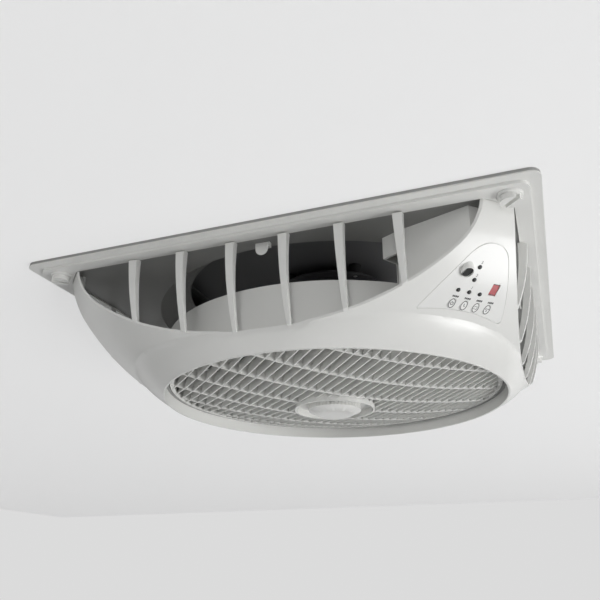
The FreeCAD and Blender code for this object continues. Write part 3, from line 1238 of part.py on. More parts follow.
def fascia_outline(grow):
    """The rounded triangle of the control panel."""
    tip, corner = "fascia_tip", "fascia_corner"
    return [(f"fascia_left - {grow} + {tip}", f"fascia_low - {grow}", "fascia_low_arc", -1),
            (f"fascia_right + {grow} - {corner}", f"fascia_right_low - {grow}", corner, 1),
            (f"fascia_right + {grow}", f"fascia_right_low - {grow} + {corner}", "fascia_right_arc", 1),
            (f"fascia_top_right + 0.9 * {grow}", f"fascia_shoulder + 0.4 * {grow}", "fascia_top_arc", 1),
            (f"fascia_top_left - 0.9 * {grow}", f"fascia_shoulder + 0.4 * {grow}", "fascia_left_arc", 1),
            (f"fascia_left - {grow}", f"fascia_low - {grow} + {tip}", tip, 1)]


def fascia_block(name, grow):
    return on_control(padded(name, "XY_Plane", fascia_outline(grow), "60", "0"), w="-30")


def fascia_layer(name):
    """The outer skin of the bowl, as thick as the fascia."""
    return cut(name, bowl_solid(name + "_outer", "0"), bowl_solid(name + "_inner", "fascia_thick"))


def fascia_recess():
    return common("fascia_recess", fascia_block("fascia_recess_block", "fascia_gap"),
                  fascia_layer("fascia_recess_layer"))


def surface_sink(u, v):
    """How far the curved leg falls away from the control frame at a place."""
    return f"({u}) ^ 2 / (2 * across_arc) + ({v}) ^ 2 / (2 * flank_arc)"


def button_places():
    names = ("button_power", "button_timer", "button_speed", "button_louvre")
    return [(name, f"button_first + {step} * button_pitch") for step, name in enumerate(names)]


def lamp_places():
    return [("0", "lamp_row"), ("-lamp_pitch", "lamp_row"), ("lamp_pitch", "lamp_row"),
            ("-1.6", "lamp_row + lamp_step"), ("-2.4", "lamp_row + 2 * lamp_step")]


def receiver_post(name, radius):
    """An upright round post through the wall of the leg, where the receiver sits."""
    x, y, z = control_point("receiver_left", "receiver_up", "receiver_proud")
    return cylinder(name, radius, "2 * receiver_reach", x, y, f"{z} - receiver_reach")


def receiver_rod(name, radius, raised):
    """A round rod of the receiver, from its slanted end to its depth behind the leg's wall."""
    end = cylinder(name + "_end", "receiver_reach", "2 * receiver_reach")
    end.Placement.Rotation = slope_rotation("receiver_slope")
    x, y, z = control_point("receiver_left", "receiver_up", "receiver_proud")
    place(end, x, y, f"{z} + {raised}")
    room = on_control(cylinder(name + "_room", "receiver_reach", "receiver_reach"), "receiver_left",
                      "receiver_up", "-receiver_depth")
    return cut(name, common(name + "_length", receiver_post(name + "_post", radius), room), end)


def control_bores(name, low, height):
    """Holes for the buttons, lenses, window and receiver."""
    length = f"{height} - ({low})"
    bores = [on_control(oval(f"{name}_{button}", "button_half_width + button_fit",
                             "button_half_height + button_fit", length), u, "button_low", low)
             for button, u in button_places()]
    bores += [on_control(cylinder(f"{name}_lamp_{index}", "lamp_radius", length), u, v, low)
              for index, (u, v) in enumerate(lamp_places())]
    bores.append(receiver_post(f"{name}_receiver", "receiver_radius + receiver_fit"))
    window = doc.addObject("Part::Box", f"{name}_window")
    bind(window, Length="display_width", Width="display_height", Height=length)
    bores.append(on_control(window, "display_left", "display_low", low))
    return fuse(name, *bores)


def control_panel():
    plate = common("fascia_plate", fascia_block("fascia_plate_block", "0"),
                   fascia_layer("fascia_plate_layer"))
    node(cut("control_fascia", plate, control_bores("fascia_bores", "-40", "30")), "control_fascia")
    lamps = [on_control(cylinder(f"lamp_{index}", "lamp_radius", "window_depth + lamp_proud"), u, v,
                        "-window_depth")
             for index, (u, v) in enumerate(lamp_places())]
    node(group("indicator_lenses", lamps), "indicator_lenses")
    window = doc.addObject("Part::Box", "display_window")
    bind(window, Length="display_width", Width="display_height", Height="window_depth")
    node(on_control(window, "display_left", "display_low", "-window_depth - 2"), "display_window")
    node(cut("ir_bezel", receiver_rod("receiver_tube", "receiver_radius", "0"),
             receiver_post("receiver_hole", "lens_radius")), "ir_bezel")
    node(receiver_rod("ir_lens", "lens_radius", "lens_recess"), "ir_lens")
    for name, u in button_places():
        sink = surface_sink(u, "button_low")
        face = f"-({sink}) + button_proud"
        flange_top = f"-({sink}) - shell_wall - button_room"
        cap = on_control(oval(name + "_cap", "button_half_width", "button_half_height",
                              f"{face} - ({flange_top})"), u, "button_low", flange_top)
        flange = on_control(oval(name + "_flange", "button_half_width + button_flange",
                                 "button_half_height + button_flange", "button_flange_thick"),
                            u, "button_low", f"{flange_top} - button_flange_thick")
        node(fuse(name, cap, flange), name)


def control_board():
    outline = [("board_left", "board_low"), ("board_right", "board_low"),
               ("board_right", "board_top - board_notch_height"),
               ("board_right - board_notch_width", "board_top"), ("board_left", "board_top")]
    sheet_body = padded("control_board_sheet", "XY_Plane", outline, "board_thick")
    node(on_control(sheet_body, w="board_face - board_thick"), "control_pcb")


# ---------------------------------------------------------------- control box

def control_box():
    """Walls and a lid behind the control leg, open towards it."""
    def outline(inset):
        return [(f"box_near + {inset}", f"-(box_edge_half - 10) + {inset}"),
                (f"box_edge + {inset}", f"-box_edge_half + {inset}"),
                (f"box_leg", f"-box_leg_half + {inset}"),
                (f"box_leg_half - {inset}", f"-box_leg"),
                (f"box_edge_half - {inset}", f"-box_edge - {inset}"),
                (f"box_edge_half - 10 - {inset}", f"-box_near - {inset}", f"box_inner + {inset}", 1)]
    outer = padded("control_box_outer", "XY_Plane", outline("0"), "through", "-through / 2")
    inner = padded("control_box_inner", "XY_Plane", outline("box_wall"), "through", "-through / 2")
    walls = cut("control_box_walls", outer, inner)
    lid = common("control_box_lid", outer, box("control_box_top", "through * 2", "through * 2", "box_wall",
                                               z="inlet_under - box_wall"))
    inside = cut("control_box_space", bowl_solid("bowl_inside", "shell_wall + box_gap"),
                 cylinder("control_box_duct", "collar_flange + 2", "through", z="-through"))
    shape = common("control_box_closed", fuse("control_box_walls_and_lid", walls, lid), inside)
    corner = ("box_edge - box_near_cut / 2", "-(box_edge_half - box_near_cut / 2)")
    foot = "inlet_under - box_near_height - through"
    notches = [box("control_box_notch_front", "box_near_cut", "2 * box_near_cut", "through", *corner, foot),
               box("control_box_notch_side", "2 * box_near_cut", "box_near_cut", "through",
                   "box_edge_half - box_near_cut / 2", "-(box_edge - box_near_cut / 2)", foot)]
    return node(cut("control_box", shape, fuse("control_box_notches", *notches)), "control_box")


# ---------------------------------------------------------------- build, check and write

shell = body_shell()
ceiling_panel()
flange_gasket()
inlet_plate()
inlet_cone()
leg_screws()
upper_pan()
hanger_plates()
bowl = doc.getObject("shell_outside")
for quarter, side in enumerate(("front", "right", "back", "left")):
    intake_grille(side, quarter, shell, bowl)
knob_collars()
knob_names = ("corner_knob_back_right", "corner_knob_back_left", "corner_knob_front_left",
              "corner_knob_front_right")
for knob_index, (knob_x, knob_y) in enumerate(at_corners("knob_at")):
    corner_knob(knob_names[knob_index], knob_x, knob_y, 45.0 + 90.0 * knob_index)
safety_hooks()
fan_shroud()
louvre_support()
shroud_fasteners()
louvre_motor()
louvre_spindle()
louvre_wheel()
louvre_cap()
impeller()
motor_housings()
motor_insides()
motor_mounting()
capacitor()
terminal_box()
control_panel()
control_board()
control_box()

doc.recompute()
failed = [obj.Label for obj in doc.Objects if "Invalid" in obj.State or "Error" in obj.State]
if failed:
    raise RuntimeError(f"objects that failed: {failed}")
os.makedirs("parts", exist_ok=True)
for item in NODES:
    if item.Shape.isNull() or not item.Shape.isValid() or not item.Shape.Solids:
        raise RuntimeError(f"{item.Label} has no valid solid")
for item in NODES:
    item.Shape.exportStep(os.path.join("parts", item.Label + ".step"))
    box_of = item.Shape.BoundBox
    print(f"{item.Label}: {len(item.Shape.Solids)} solids, volume {item.Shape.Volume:.1f}, "
          f"z {box_of.ZMin:.2f} to {box_of.ZMax:.2f}")
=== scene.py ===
"""Ceiling panel fan: finishes, printed control panel, pressed sheet details, fasteners and the stage.

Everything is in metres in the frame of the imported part: +Z up, the ceiling at z = 0, and the control panel on
the leg towards +X, -Y.
"""
import json
import math

import bpy
from mathutils import Matrix, Vector


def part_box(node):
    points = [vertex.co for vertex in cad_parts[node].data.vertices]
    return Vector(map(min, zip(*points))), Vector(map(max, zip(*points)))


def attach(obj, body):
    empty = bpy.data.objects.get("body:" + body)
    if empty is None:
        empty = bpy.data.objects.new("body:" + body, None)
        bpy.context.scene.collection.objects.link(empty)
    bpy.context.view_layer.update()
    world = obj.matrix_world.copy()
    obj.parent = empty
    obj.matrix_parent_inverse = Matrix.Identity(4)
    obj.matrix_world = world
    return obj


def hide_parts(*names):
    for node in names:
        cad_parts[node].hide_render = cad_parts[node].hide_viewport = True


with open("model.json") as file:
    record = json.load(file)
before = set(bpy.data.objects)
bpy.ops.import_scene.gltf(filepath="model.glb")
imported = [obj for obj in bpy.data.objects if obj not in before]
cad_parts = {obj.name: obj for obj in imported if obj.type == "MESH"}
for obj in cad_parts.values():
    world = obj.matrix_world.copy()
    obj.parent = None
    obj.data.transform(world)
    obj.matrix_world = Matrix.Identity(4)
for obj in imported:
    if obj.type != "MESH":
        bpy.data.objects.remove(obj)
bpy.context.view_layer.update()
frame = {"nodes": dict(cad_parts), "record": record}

bl_info = {
    "name": "Ceiling panel fan",
    "version": (1, 0, 0),
    "blender": (4, 5, 0),
    "location": "View3D > Sidebar > Fan",
    "description": "Dresses the packed ceiling panel fan with finishes, prints and small parts",
    "category": "Object",
}

NODES = frame["nodes"]
SLOT_OF = {part["node"]: part["material_slot"] for part in frame["record"]["subparts"]}
BODY_OF = {node: body for body, nodes in frame["record"]["behaviour"]["bodies"].items() for node in nodes}

# The control frame: u across the leg, v up its slope and w outwards, in metres. First come its slope in
# degrees and the place of the display window's middle.
CONTROL_SLOPE = 52.2
WINDOW_MIDDLE = (0.0283, -0.0075, -0.005)
# radii of the curved fascia, across the leg and up its slope
FASCIA_RADIUS_ACROSS = 0.5145
FASCIA_RADIUS_UP = 0.262
# places across the leg of the buttons, and the height of their row
BUTTONS = (("button_power", -0.0123), ("button_timer", 0.0028), ("button_speed", 0.0179),
           ("button_louvre", 0.0330))
BUTTON_ROW = -0.0318
# places of the five indicator lamps
LAMPS = ((0.0, -0.0152), (-0.0135, -0.0152), (0.0135, -0.0152), (-0.0016, -0.0007), (-0.0024, 0.0138))
# how deep a lamp is rooted in the fascia; the lamps with a numeral, and the numeral's shift from its lamp
LAMP_ROOT = 0.003
SPEED_LAMPS = (LAMPS[0], LAMPS[3], LAMPS[4])
NUMERAL_SHIFT = (0.0006, 0.0052)
# the row of dashes over a button: its shift from the button, and the middle and length of each dash in
# parts of the row
LABEL_SHIFT = (0.0002, 0.0088)
LABEL_DASHES = ((-0.40, 0.16), (-0.19, 0.18), (0.04, 0.20), (0.29, 0.20))
# dark bars along the lower and upper edge of the display window
WINDOW_BAR = (0.0086, 0.0008)
WINDOW_BAR_ACROSS = 0.0283
WINDOW_BAR_ROWS = (("low", -0.0135), ("top", -0.0015))
# prints are laid on the surface from this far outside the control frame, and most of their height is ink
PRINT_START = 0.006
INK_SHARE = 0.8
# corners of a printed ring, and what an arc may pass its end by, in degrees
RING_CORNERS = 72
ARC_SLACK = 0.5

# Beads on the pan: place, length and turn in degrees.
BEADS = ((0.02, 0.205, 0.20, 0.0), (0.0, -0.205, 0.30, 0.0),
         (0.205, 0.0, 0.30, 90.0), (-0.205, -0.03, 0.20, 90.0))
# screws of the terminal box cover: distance of their middles from its sides, radius and height of their heads
COVER_SCREW_INSET = 0.0075
COVER_SCREW_RADIUS = 0.0034
COVER_SCREW_HEIGHT = 0.0019
# turns in degrees of the two bars of a cross recess
CROSS_TURNS = (20.0, 110.0)

# Rounded edges: their steps, and the angle in degrees from which an edge is rounded.
EDGE_STEPS = 2
EDGE_ANGLE = 34.0
CROWN_STEPS = 5
# corners closer than this are one; faces within the flat angle are one; both angles are in degrees
CORNER_MERGE = 0.000002
SEAM_MERGE = 0.000001
FLAT_ANGLE = 0.6
SMOOTH_ANGLE = 32.0
# upward part of a face's direction from which it counts as the top
FACING_UP = 0.9

# The room: light that falls in, what is seen where the room ends, and how bright ceiling and floor look.
DAYLIGHT = (0.97, 0.985, 1.0, 1.0)
DAYLIGHT_STRENGTH = 0.17
BACKGROUND = (0.71, 0.71, 0.71, 1.0)
PAINT_SEEN = 0.42
PAINT_GLOW = (0.55, 0.55, 0.55)
# area lamps: name, place, target, width, power in watts and spread in degrees
BOWL_MIDDLE = (0.0, 0.0, -0.08)
PAN_MIDDLE = (0.0, 0.0, 0.06)
AREA_LAMPS = (
    ("key_lamp", (2.46, 0.16, -1.70), BOWL_MIDDLE, 1.8, 53.0, 180.0),
    ("front_lamp", (0.7, -3.0, -0.36), BOWL_MIDDLE, 0.6, 14.0, 180.0),
    ("left_lamp", (-3.0, -0.6, -1.0), BOWL_MIDDLE, 1.6, 8.0, 180.0),
    ("upper_lamp", (1.5, -1.2, 1.9), PAN_MIDDLE, 1.5, 16.0, 60.0),
    ("upper_back_lamp", (-1.6, 1.5, 1.5), PAN_MIDDLE, 1.5, 9.0, 60.0),
)
# the camera: focal length and sensor in millimetres, place, and turns in degrees about Z, X and its own axis
CAMERA_LENS = 39.5068
CAMERA_SENSOR = 36.0
CAMERA_PLACE = (0.269557, -0.852402, -0.357406)
CAMERA_TURNS = ((20.6617, "Z"), (113.3222, "X"), (0.2654, "Z"))


# ---------------------------------------------------------------- sizes and colours that a user would change

def length_property(name, description, default):
    """A length in metres that the user can change."""
    return bpy.props.FloatProperty(name=name, description=description, default=default, min=0.0,
                                   subtype="DISTANCE", unit="LENGTH", precision=5)


def colour_property(name, description, default):
    """A linear colour that the user can change."""
    return bpy.props.FloatVectorProperty(name=name, description=description, default=default, size=3,
                                         min=0.0, max=1.0, subtype="COLOR")


class FanSizes(bpy.types.PropertyGroup):
    """Lengths of the finishing work and of the stage."""
    mould_edge: length_property("Moulded edge", "Radius of the edges of moulded plastic pieces", 0.0006)
    lip_edge: length_property("Lip edge", "Radius of the round edges of the bowl and its ribs", 0.0009)
    sheet_edge: length_property("Sheet edge", "Radius of the edges of sheet metal pieces", 0.0003)
    blade_edge: length_property("Blade edge", "Radius of the edges of the louvre wheel's blades", 0.0003)
    print_height: length_property("Print height", "Thickness of the printed ink", 0.00005)
    ring_across: length_property("Ring half width", "Half width of the oval ring printed on a button", 0.0034)
    ring_up: length_property("Ring half height", "Half height of the oval ring printed on a button", 0.0053)
    ring_line: length_property("Ring line", "Width of the line of the ring printed on a button", 0.0009)
    stroke: length_property("Stroke", "Width of the lines in a printed sign", 0.0007)
    numeral: length_property("Numeral", "Height of the numerals beside the speed lamps", 0.0046)
    label_length: length_property("Label length", "Length of the row of dashes over a button", 0.0084)
    label_height: length_property("Label height", "Height of the dashes over a button", 0.0021)
    dome_radius: length_property("Lamp radius", "Radius of an indicator lamp", 0.0024)
    dome_height: length_property("Lamp height", "Height of an indicator lamp over the fascia", 0.0017)
    bead_width: length_property("Bead width", "Width of the beads pressed in the upper pan", 0.011)
    bead_height: length_property("Bead height", "Height of the beads pressed in the upper pan", 0.0024)
    ceiling_hole: length_property("Opening half width", "Half width of the opening in the ceiling", 0.2945)
    ceiling_size: length_property("Ceiling size", "Width of the ceiling", 5.0)
    floor_size: length_property("Floor size", "Width of the floor", 14.0)
    floor_drop: length_property("Floor drop", "Floor below the ceiling", 2.4)


class FanColours(bpy.types.PropertyGroup):
    """Colours of the mouldings, the prints and the room."""
    shell: colour_property("Moulded white", "Colour of the moulded panel and bowl", (0.80, 0.80, 0.775))
    ink: colour_property("Ink", "Colour of the printed signs", (0.03, 0.03, 0.032))
    soft_ink: colour_property("Soft ink", "Colour of the rings and small labels", (0.045, 0.045, 0.045))
    room: colour_property("Room", "Colour of the ceiling and floor", (0.80, 0.80, 0.80))


def sizes():
    """The lengths as the user has them now."""
    return bpy.context.scene.fan_sizes


def colours():
    """The colours as the user has them now."""
    return bpy.context.scene.fan_colours


# ---------------------------------------------------------------- shader expressions

class Wire:
    """A shader socket that takes part in arithmetic."""

    def __init__(self, tree, socket):
        self.tree = tree
        self.socket = socket

    def _math(self, operation, first, second):
        """The outcome of a sum, a difference or the like of two wires or numbers."""
        made = self.tree.nodes.new("ShaderNodeMath")
        made.operation = operation
        for socket, given in zip(made.inputs, (first, second)):
            if isinstance(given, Wire):
                self.tree.links.new(given.socket, socket)
            else:
                socket.default_value = given
        return Wire(self.tree, made.outputs[0])

    def __add__(self, other):
        return self._math("ADD", self, other)

    def __radd__(self, other):
        return self._math("ADD", other, self)

    def __sub__(self, other):
        return self._math("SUBTRACT", self, other)

    def __mul__(self, other):
        return self._math("MULTIPLY", self, other)


class Finish:
    """A node material that is written as expressions."""

    def __init__(self, name):
        self.material = bpy.data.materials.new(name)
        self.material.use_nodes = True
        self.tree = self.material.node_tree
        self.shader = self.tree.nodes["Principled BSDF"]
        self.output = self.tree.nodes["Material Output"]

    def node(self, kind, settings=None, **inputs):
        """Add a node, set it up, feed its sockets by name, or by number as in i6, and return its outputs."""
        made = self.tree.nodes.new("ShaderNode" + kind)
        for key, given in (settings or {}).items():
            setattr(made, key, given)
        for key, given in inputs.items():
            name = key.replace("_", " ")
            socket = made.inputs[name] if name in made.inputs else made.inputs[int(key[1:])]
            self.feed(socket, given)
        return {socket.name: Wire(self.tree, socket) for socket in made.outputs if socket.enabled}

    def feed(self, socket, given):
        """Link a wire to a socket, or set its value; a colour gets its fourth number here."""
        if isinstance(given, Wire):
            self.tree.links.new(given.socket, socket)
        elif socket.type == "RGBA":
            socket.default_value = (*given, 1.0)
        else:
            socket.default_value = given

    def place(self, stretch=None):
        """The point on the piece in metres, stretched along its axes when that is asked for."""
        coordinates = self.node("TexCoord")["Object"]
        if stretch is None:
            return coordinates
        return self.node("Mapping", Vector=coordinates, Scale=stretch)["Vector"]

    def noise(self, scale, detail=3.0, roughness=0.5, stretch=None):
        """Cloudy noise between 0 and 1, with this many clouds to the metre."""
        made = self.node("TexNoise", Vector=self.place(stretch), Scale=scale, Detail=detail,
                         Roughness=roughness)
        return made["Fac"]

    def mix(self, low, high, amount):
        """Blend two colours."""
        return self.node("Mix", {"data_type": "RGBA"}, i0=amount, i6=low, i7=high)["Result"]

    def bump(self, height, distance, strength):
        """The surface's direction where its height changes by up to a distance in metres."""
        return self.node("Bump", Height=height, Distance=distance, Strength=strength)["Normal"]

    def shade(self, **inputs):
        """Feed the shader's sockets and return the material."""
        for key, given in inputs.items():
            self.feed(self.shader.inputs[key.replace("_", " ")], given)
        return self.material


def toned(colour, factor):
    """A lighter or darker tone of a colour."""
    return tuple(min(1.0, part * factor) for part in colour)


def moulded_plastic(name, colour):
    """Spark-eroded moulded plastic: a fine grain, slow clouds of tone and a little dust."""
    finish = Finish(name)
    clouds = finish.noise(scale=7.0, detail=3.0)
    dust = finish.noise(scale=55.0, detail=5.0, roughness=0.65)
    eroded = finish.noise(scale=1500.0, detail=2.0)
    tone = finish.mix(toned(colour, 0.965), toned(colour, 1.02), clouds)
    dusty = finish.mix(tone, toned(colour, 0.93), (dust - 0.52) * 0.5)
    return finish.shade(Base_Color=dusty, Roughness=0.45 + dust * 0.14, Specular_IOR_Level=0.4,
                        Normal=finish.bump(eroded, distance=0.00002, strength=0.35))


def painted_steel(name, colour):
    """Powder-coated sheet with orange peel."""
    finish = Finish(name)
    clouds = finish.noise(scale=11.0, detail=4.0)
    peel = finish.noise(scale=420.0, detail=2.0)
    tone = finish.mix(toned(colour, 0.9), toned(colour, 1.08), clouds)
    return finish.shade(Base_Color=tone, Roughness=0.44 + clouds * 0.14,
                        Normal=finish.bump(peel, distance=0.00004, strength=0.5))


def galvanised_sheet(name, colour):
    """Zinc-coated sheet with spangles of different tone and gloss."""
    finish = Finish(name)
    warp = finish.noise(scale=60.0, detail=2.0)
    spangles = finish.node("TexVoronoi", {"feature": "F1"}, Vector=finish.place(), Scale=130.0,
                           Randomness=1.0)["Color"]
    cell = finish.node("SeparateColor", Color=spangles)
    cloud = finish.noise(scale=5.0, detail=4.0)
    tone = finish.mix(toned(colour, 0.72), toned(colour, 1.12), cell["Red"] * 0.75 + warp * 0.25)
    dull = finish.mix(tone, toned(colour, 0.8), cloud * 0.45)
    return finish.shade(Base_Color=dull, Metallic=0.85, Roughness=0.34 + cell["Green"] * 0.18 + cloud * 0.1,
                        Normal=finish.bump(cell["Blue"] * 0.4 + warp, distance=0.00003, strength=0.4))


def plated_steel(name, colour):
    """Small turned and plated parts."""
    finish = Finish(name)
    marks = finish.noise(scale=900.0, detail=3.0, roughness=0.6, stretch=(1.0, 1.0, 0.2))
    cloud = finish.noise(scale=80.0, detail=3.0)
    tone = finish.mix(toned(colour, 0.86), toned(colour, 1.06), cloud)
    return finish.shade(Base_Color=tone, Metallic=1.0, Roughness=0.3 + marks * 0.14,
                        Normal=finish.bump(marks, distance=0.00001, strength=0.5))


def laminated_steel(name, colour):
    """A stack of thin plates: fine lines across the height."""
    finish = Finish(name)
    lines = finish.node("TexWave", {"wave_type": "BANDS", "bands_direction": "Z"}, Vector=finish.place(),
                        Scale=320.0, Distortion=0.4, Detail=1.0, Detail_Scale=6.0)["Fac"]
    cloud = finish.noise(scale=40.0, detail=4.0)
    tone = finish.mix(toned(colour, 0.55), colour, lines * 0.7 + cloud * 0.3)
    return finish.shade(Base_Color=tone, Metallic=0.8, Roughness=0.42 + cloud * 0.2,
                        Normal=finish.bump(lines, distance=0.0001, strength=0.6))


def wound_wire(name, colour):
    """Enamelled wire laid in a round bundle."""
    finish = Finish(name)
    strands = finish.node("TexWave", {"wave_type": "RINGS", "rings_direction": "Z"}, Vector=finish.place(),
                          Scale=260.0, Distortion=2.6, Detail=2.0, Detail_Scale=3.0)["Fac"]
    cloud = finish.noise(scale=50.0, detail=3.0)
    tone = finish.mix(toned(colour, 0.4), toned(colour, 1.15), strands * 0.65 + cloud * 0.35)
    return finish.shade(Base_Color=tone, Metallic=0.55, Roughness=0.3 + cloud * 0.16, Coat_Weight=0.6,
                        Normal=finish.bump(strands, distance=0.0003, strength=0.8))


def soft_rubber(name, colour):
    """Dull rubber with a grey bloom."""
    finish = Finish(name)
    bloom = finish.noise(scale=120.0, detail=5.0, roughness=0.7)
    tone = finish.mix(colour, toned(colour, 2.4), bloom * 0.6)
    return finish.shade(Base_Color=tone, Roughness=0.62 + bloom * 0.25,
                        Normal=finish.bump(finish.noise(scale=900.0), distance=0.00003, strength=0.4))


def closed_foam(name, colour):
    """Closed-cell foam strip."""
    finish = Finish(name)
    cells = finish.noise(scale=700.0, detail=3.0, roughness=0.6)
    cloud = finish.noise(scale=25.0, detail=3.0)
    tone = finish.mix(toned(colour, 0.85), toned(colour, 1.12), cloud)
    return finish.shade(Base_Color=tone, Roughness=0.82 + cells * 0.12, Specular_IOR_Level=0.3,
                        Normal=finish.bump(cells, distance=0.00005, strength=0.5))


def drawn_can(name, colour):
    """Drawn aluminium with lines along its height."""
    finish = Finish(name)
    lines = finish.noise(scale=700.0, detail=3.0, roughness=0.6, stretch=(1.0, 1.0, 0.03))
    cloud = finish.noise(scale=30.0, detail=3.0)
    tone = finish.mix(toned(colour, 0.84), toned(colour, 1.08), lines)
    return finish.shade(Base_Color=tone, Metallic=1.0, Roughness=0.26 + lines * 0.12 + cloud * 0.1,
                        Normal=finish.bump(lines, distance=0.000012, strength=0.6))


def printed_film(name, colour):
    """A satin polycarbonate overlay: smoother and cooler than the moulding around it."""
    finish = Finish(name)
    cloud = finish.noise(scale=14.0, detail=3.0)
    peel = finish.noise(scale=800.0, detail=2.0)
    tone = finish.mix(toned(colour, 0.98), toned(colour, 1.015), cloud)
    return finish.shade(Base_Color=tone, Roughness=0.42 + cloud * 0.08, Specular_IOR_Level=0.4,
                        Normal=finish.bump(peel, distance=0.00001, strength=0.3))


def smoked_lens(name, colour):
    """Dark glossy plastic with faint smears."""
    finish = Finish(name)
    smear = finish.noise(scale=180.0, detail=3.0)
    return finish.shade(Base_Color=finish.mix(colour, toned(colour, 1.8), smear * 0.5),
                        Roughness=0.05 + smear * 0.07, Coat_Weight=1.0,
                        Normal=finish.bump(smear, distance=0.000008, strength=0.3))


def glowing_red_glass(name, colour):
    """The tinted window of the display, with the faint shape of the part behind it, and a painted glow: it
    shines a little in its own red though no lamp is behind it.
    """
    finish = Finish(name)
    depth = finish.noise(scale=150.0, detail=2.0)
    tone = finish.mix(toned(colour, 0.8), toned(colour, 1.25), depth)
    # painted glow: the window gives off a little light of its own colour, though nothing behind it is lit
    return finish.shade(Base_Color=tone, Roughness=0.38 + depth * 0.08, Emission_Color=tone,
                        Emission_Strength=0.12)


def circuit_board(name, colour):
    """Solder mask over copper tracks."""
    finish = Finish(name)
    tracks = finish.node("TexBrick", {"offset": 0.5}, Vector=finish.place(), Scale=120.0,
                         Mortar_Size=0.05)["Fac"]
    cloud = finish.noise(scale=20.0, detail=3.0)
    tone = finish.mix(toned(colour, 0.9), toned(colour, 1.6), tracks * 0.8 + cloud * 0.2)
    return finish.shade(Base_Color=tone, Roughness=0.32 + cloud * 0.1,
                        Normal=finish.bump(tracks, distance=0.00003, strength=0.5))


def printing_ink(name, colour):
    """Screen-printed ink with slightly uneven cover."""
    finish = Finish(name)
    cover = finish.noise(scale=1800.0, detail=2.0)
    tone = finish.mix(colour, toned(colour, 1.5), cover * 0.5)
    return finish.shade(Base_Color=tone, Roughness=0.42 + cover * 0.12)


# How each slot of the record is finished.
FINISHES = {
    "white_abs": moulded_plastic,
    "grey_sheet": painted_steel,
    "foam_seal": closed_foam,
    "pan_paint": painted_steel,
    "galvanised_sheet": galvanised_sheet,
    "zinc_steel": plated_steel,
    "fan_plastic": moulded_plastic,
    "motor_paint": painted_steel,
    "core_steel": laminated_steel,
    "copper_wire": wound_wire,
    "bearing_steel": plated_steel,
    "isolator_rubber": soft_rubber,
    "capacitor_can": drawn_can,
    "box_plastic": moulded_plastic,
    "block_plastic": moulded_plastic,
    "fascia_film": printed_film,
    "button_film": printed_film,
    "dark_lens": smoked_lens,
    "red_window": glowing_red_glass,
    "board_green": circuit_board,
}
SLOT_COLOURS = {entry["slot"]: tuple(entry["base_color"]) for entry in frame["record"]["materials"]}


def slot_finish(slot):
    """The material of one of the record's slots, made when it is first asked for."""
    known = bpy.data.materials.get(slot)
    if known:
        return known
    colour = tuple(colours().shell) if slot == "white_abs" else SLOT_COLOURS[slot]
    return FINISHES[slot](slot, colour)


def ink_finish(name):
    """The material of one of the inks, made when it is first asked for."""
    return bpy.data.materials.get(name) or printing_ink(name, tuple(getattr(colours(), name)))


# ---------------------------------------------------------------- modelling helpers

def deselect():
    """Leave edit mode and select nothing."""
    if bpy.context.object and bpy.context.object.mode != "OBJECT":
        bpy.ops.object.mode_set(mode="OBJECT")
    for item in bpy.context.selected_objects:
        item.select_set(False)


def activate(piece):
    """Select this piece alone and make it the active one."""
    deselect()
    piece.select_set(True)
    bpy.context.view_layer.objects.active = piece


def modified(piece, kind, **settings):
    """Add a modifier and apply it."""
    activate(piece)
    added = piece.modifiers.new(kind.lower(), kind)
    for key, given in settings.items():
        setattr(added, key, given)
    bpy.ops.object.modifier_apply(modifier=added.name)


def settled(piece):
    """Put the piece's place into its mesh."""
    activate(piece)
    bpy.ops.object.transform_apply(location=True, rotation=True, scale=True)
    return piece


def smoothed(piece, angle=SMOOTH_ANGLE):
    """Shade faces smoothly where they meet at less than an angle in degrees."""
    activate(piece)
    bpy.ops.object.shade_smooth_by_angle(angle=math.radians(angle))
    return piece


def finished(piece, body, slot=None, material=None, stands_for=()):
    """Give a piece its finish and let it ride on its body."""
    piece.data.materials.clear()
    piece.data.materials.append(material or slot_finish(slot))
    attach(piece, body)
    if stands_for:
        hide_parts(*stands_for)
    return piece


def carried(node, edge):
    """The node's own shape with merged corners, rounded edges and smooth faces."""
    piece = bpy.data.objects.new(node + "_finished", NODES[node].data.copy())
    bpy.context.scene.collection.objects.link(piece)
    activate(piece)
    bpy.ops.mesh.customdata_custom_splitnormals_clear()
    bpy.ops.object.mode_set(mode="EDIT")
    bpy.ops.mesh.select_all(action="SELECT")
    bpy.ops.mesh.remove_doubles(threshold=CORNER_MERGE)
    bpy.ops.mesh.dissolve_limited(angle_limit=math.radians(FLAT_ANGLE))
    bpy.ops.object.mode_set(mode="OBJECT")
    modified(piece, "BEVEL", limit_method="ANGLE", angle_limit=math.radians(EDGE_ANGLE), width=edge,
             segments=EDGE_STEPS, use_clamp_overlap=True)
    smoothed(piece)
    modified(piece, "WEIGHTED_NORMAL", keep_sharp=True)
    return finished(piece, BODY_OF[node], SLOT_OF[node], stands_for=(node,))


def dressed(node):
    """Give the node itself its finish."""
    NODES[node].data.materials.clear()
    NODES[node].data.materials.append(slot_finish(SLOT_OF[node]))


def joined(pieces, name):
    """Join pieces to one object."""
    activate(pieces[0])
    for piece in pieces[1:]:
        piece.select_set(True)
    if len(pieces) > 1:
        bpy.ops.object.join()
    pieces[0].name = name
    return pieces[0]


def turned_out(piece):
    """Merge doubles and point all faces outwards."""
    activate(piece)
    bpy.ops.object.mode_set(mode="EDIT")
    bpy.ops.mesh.select_all(action="SELECT")
    bpy.ops.mesh.remove_doubles(threshold=SEAM_MERGE)
    bpy.ops.mesh.normals_make_consistent(inside=False)
    bpy.ops.object.mode_set(mode="OBJECT")
    return piece


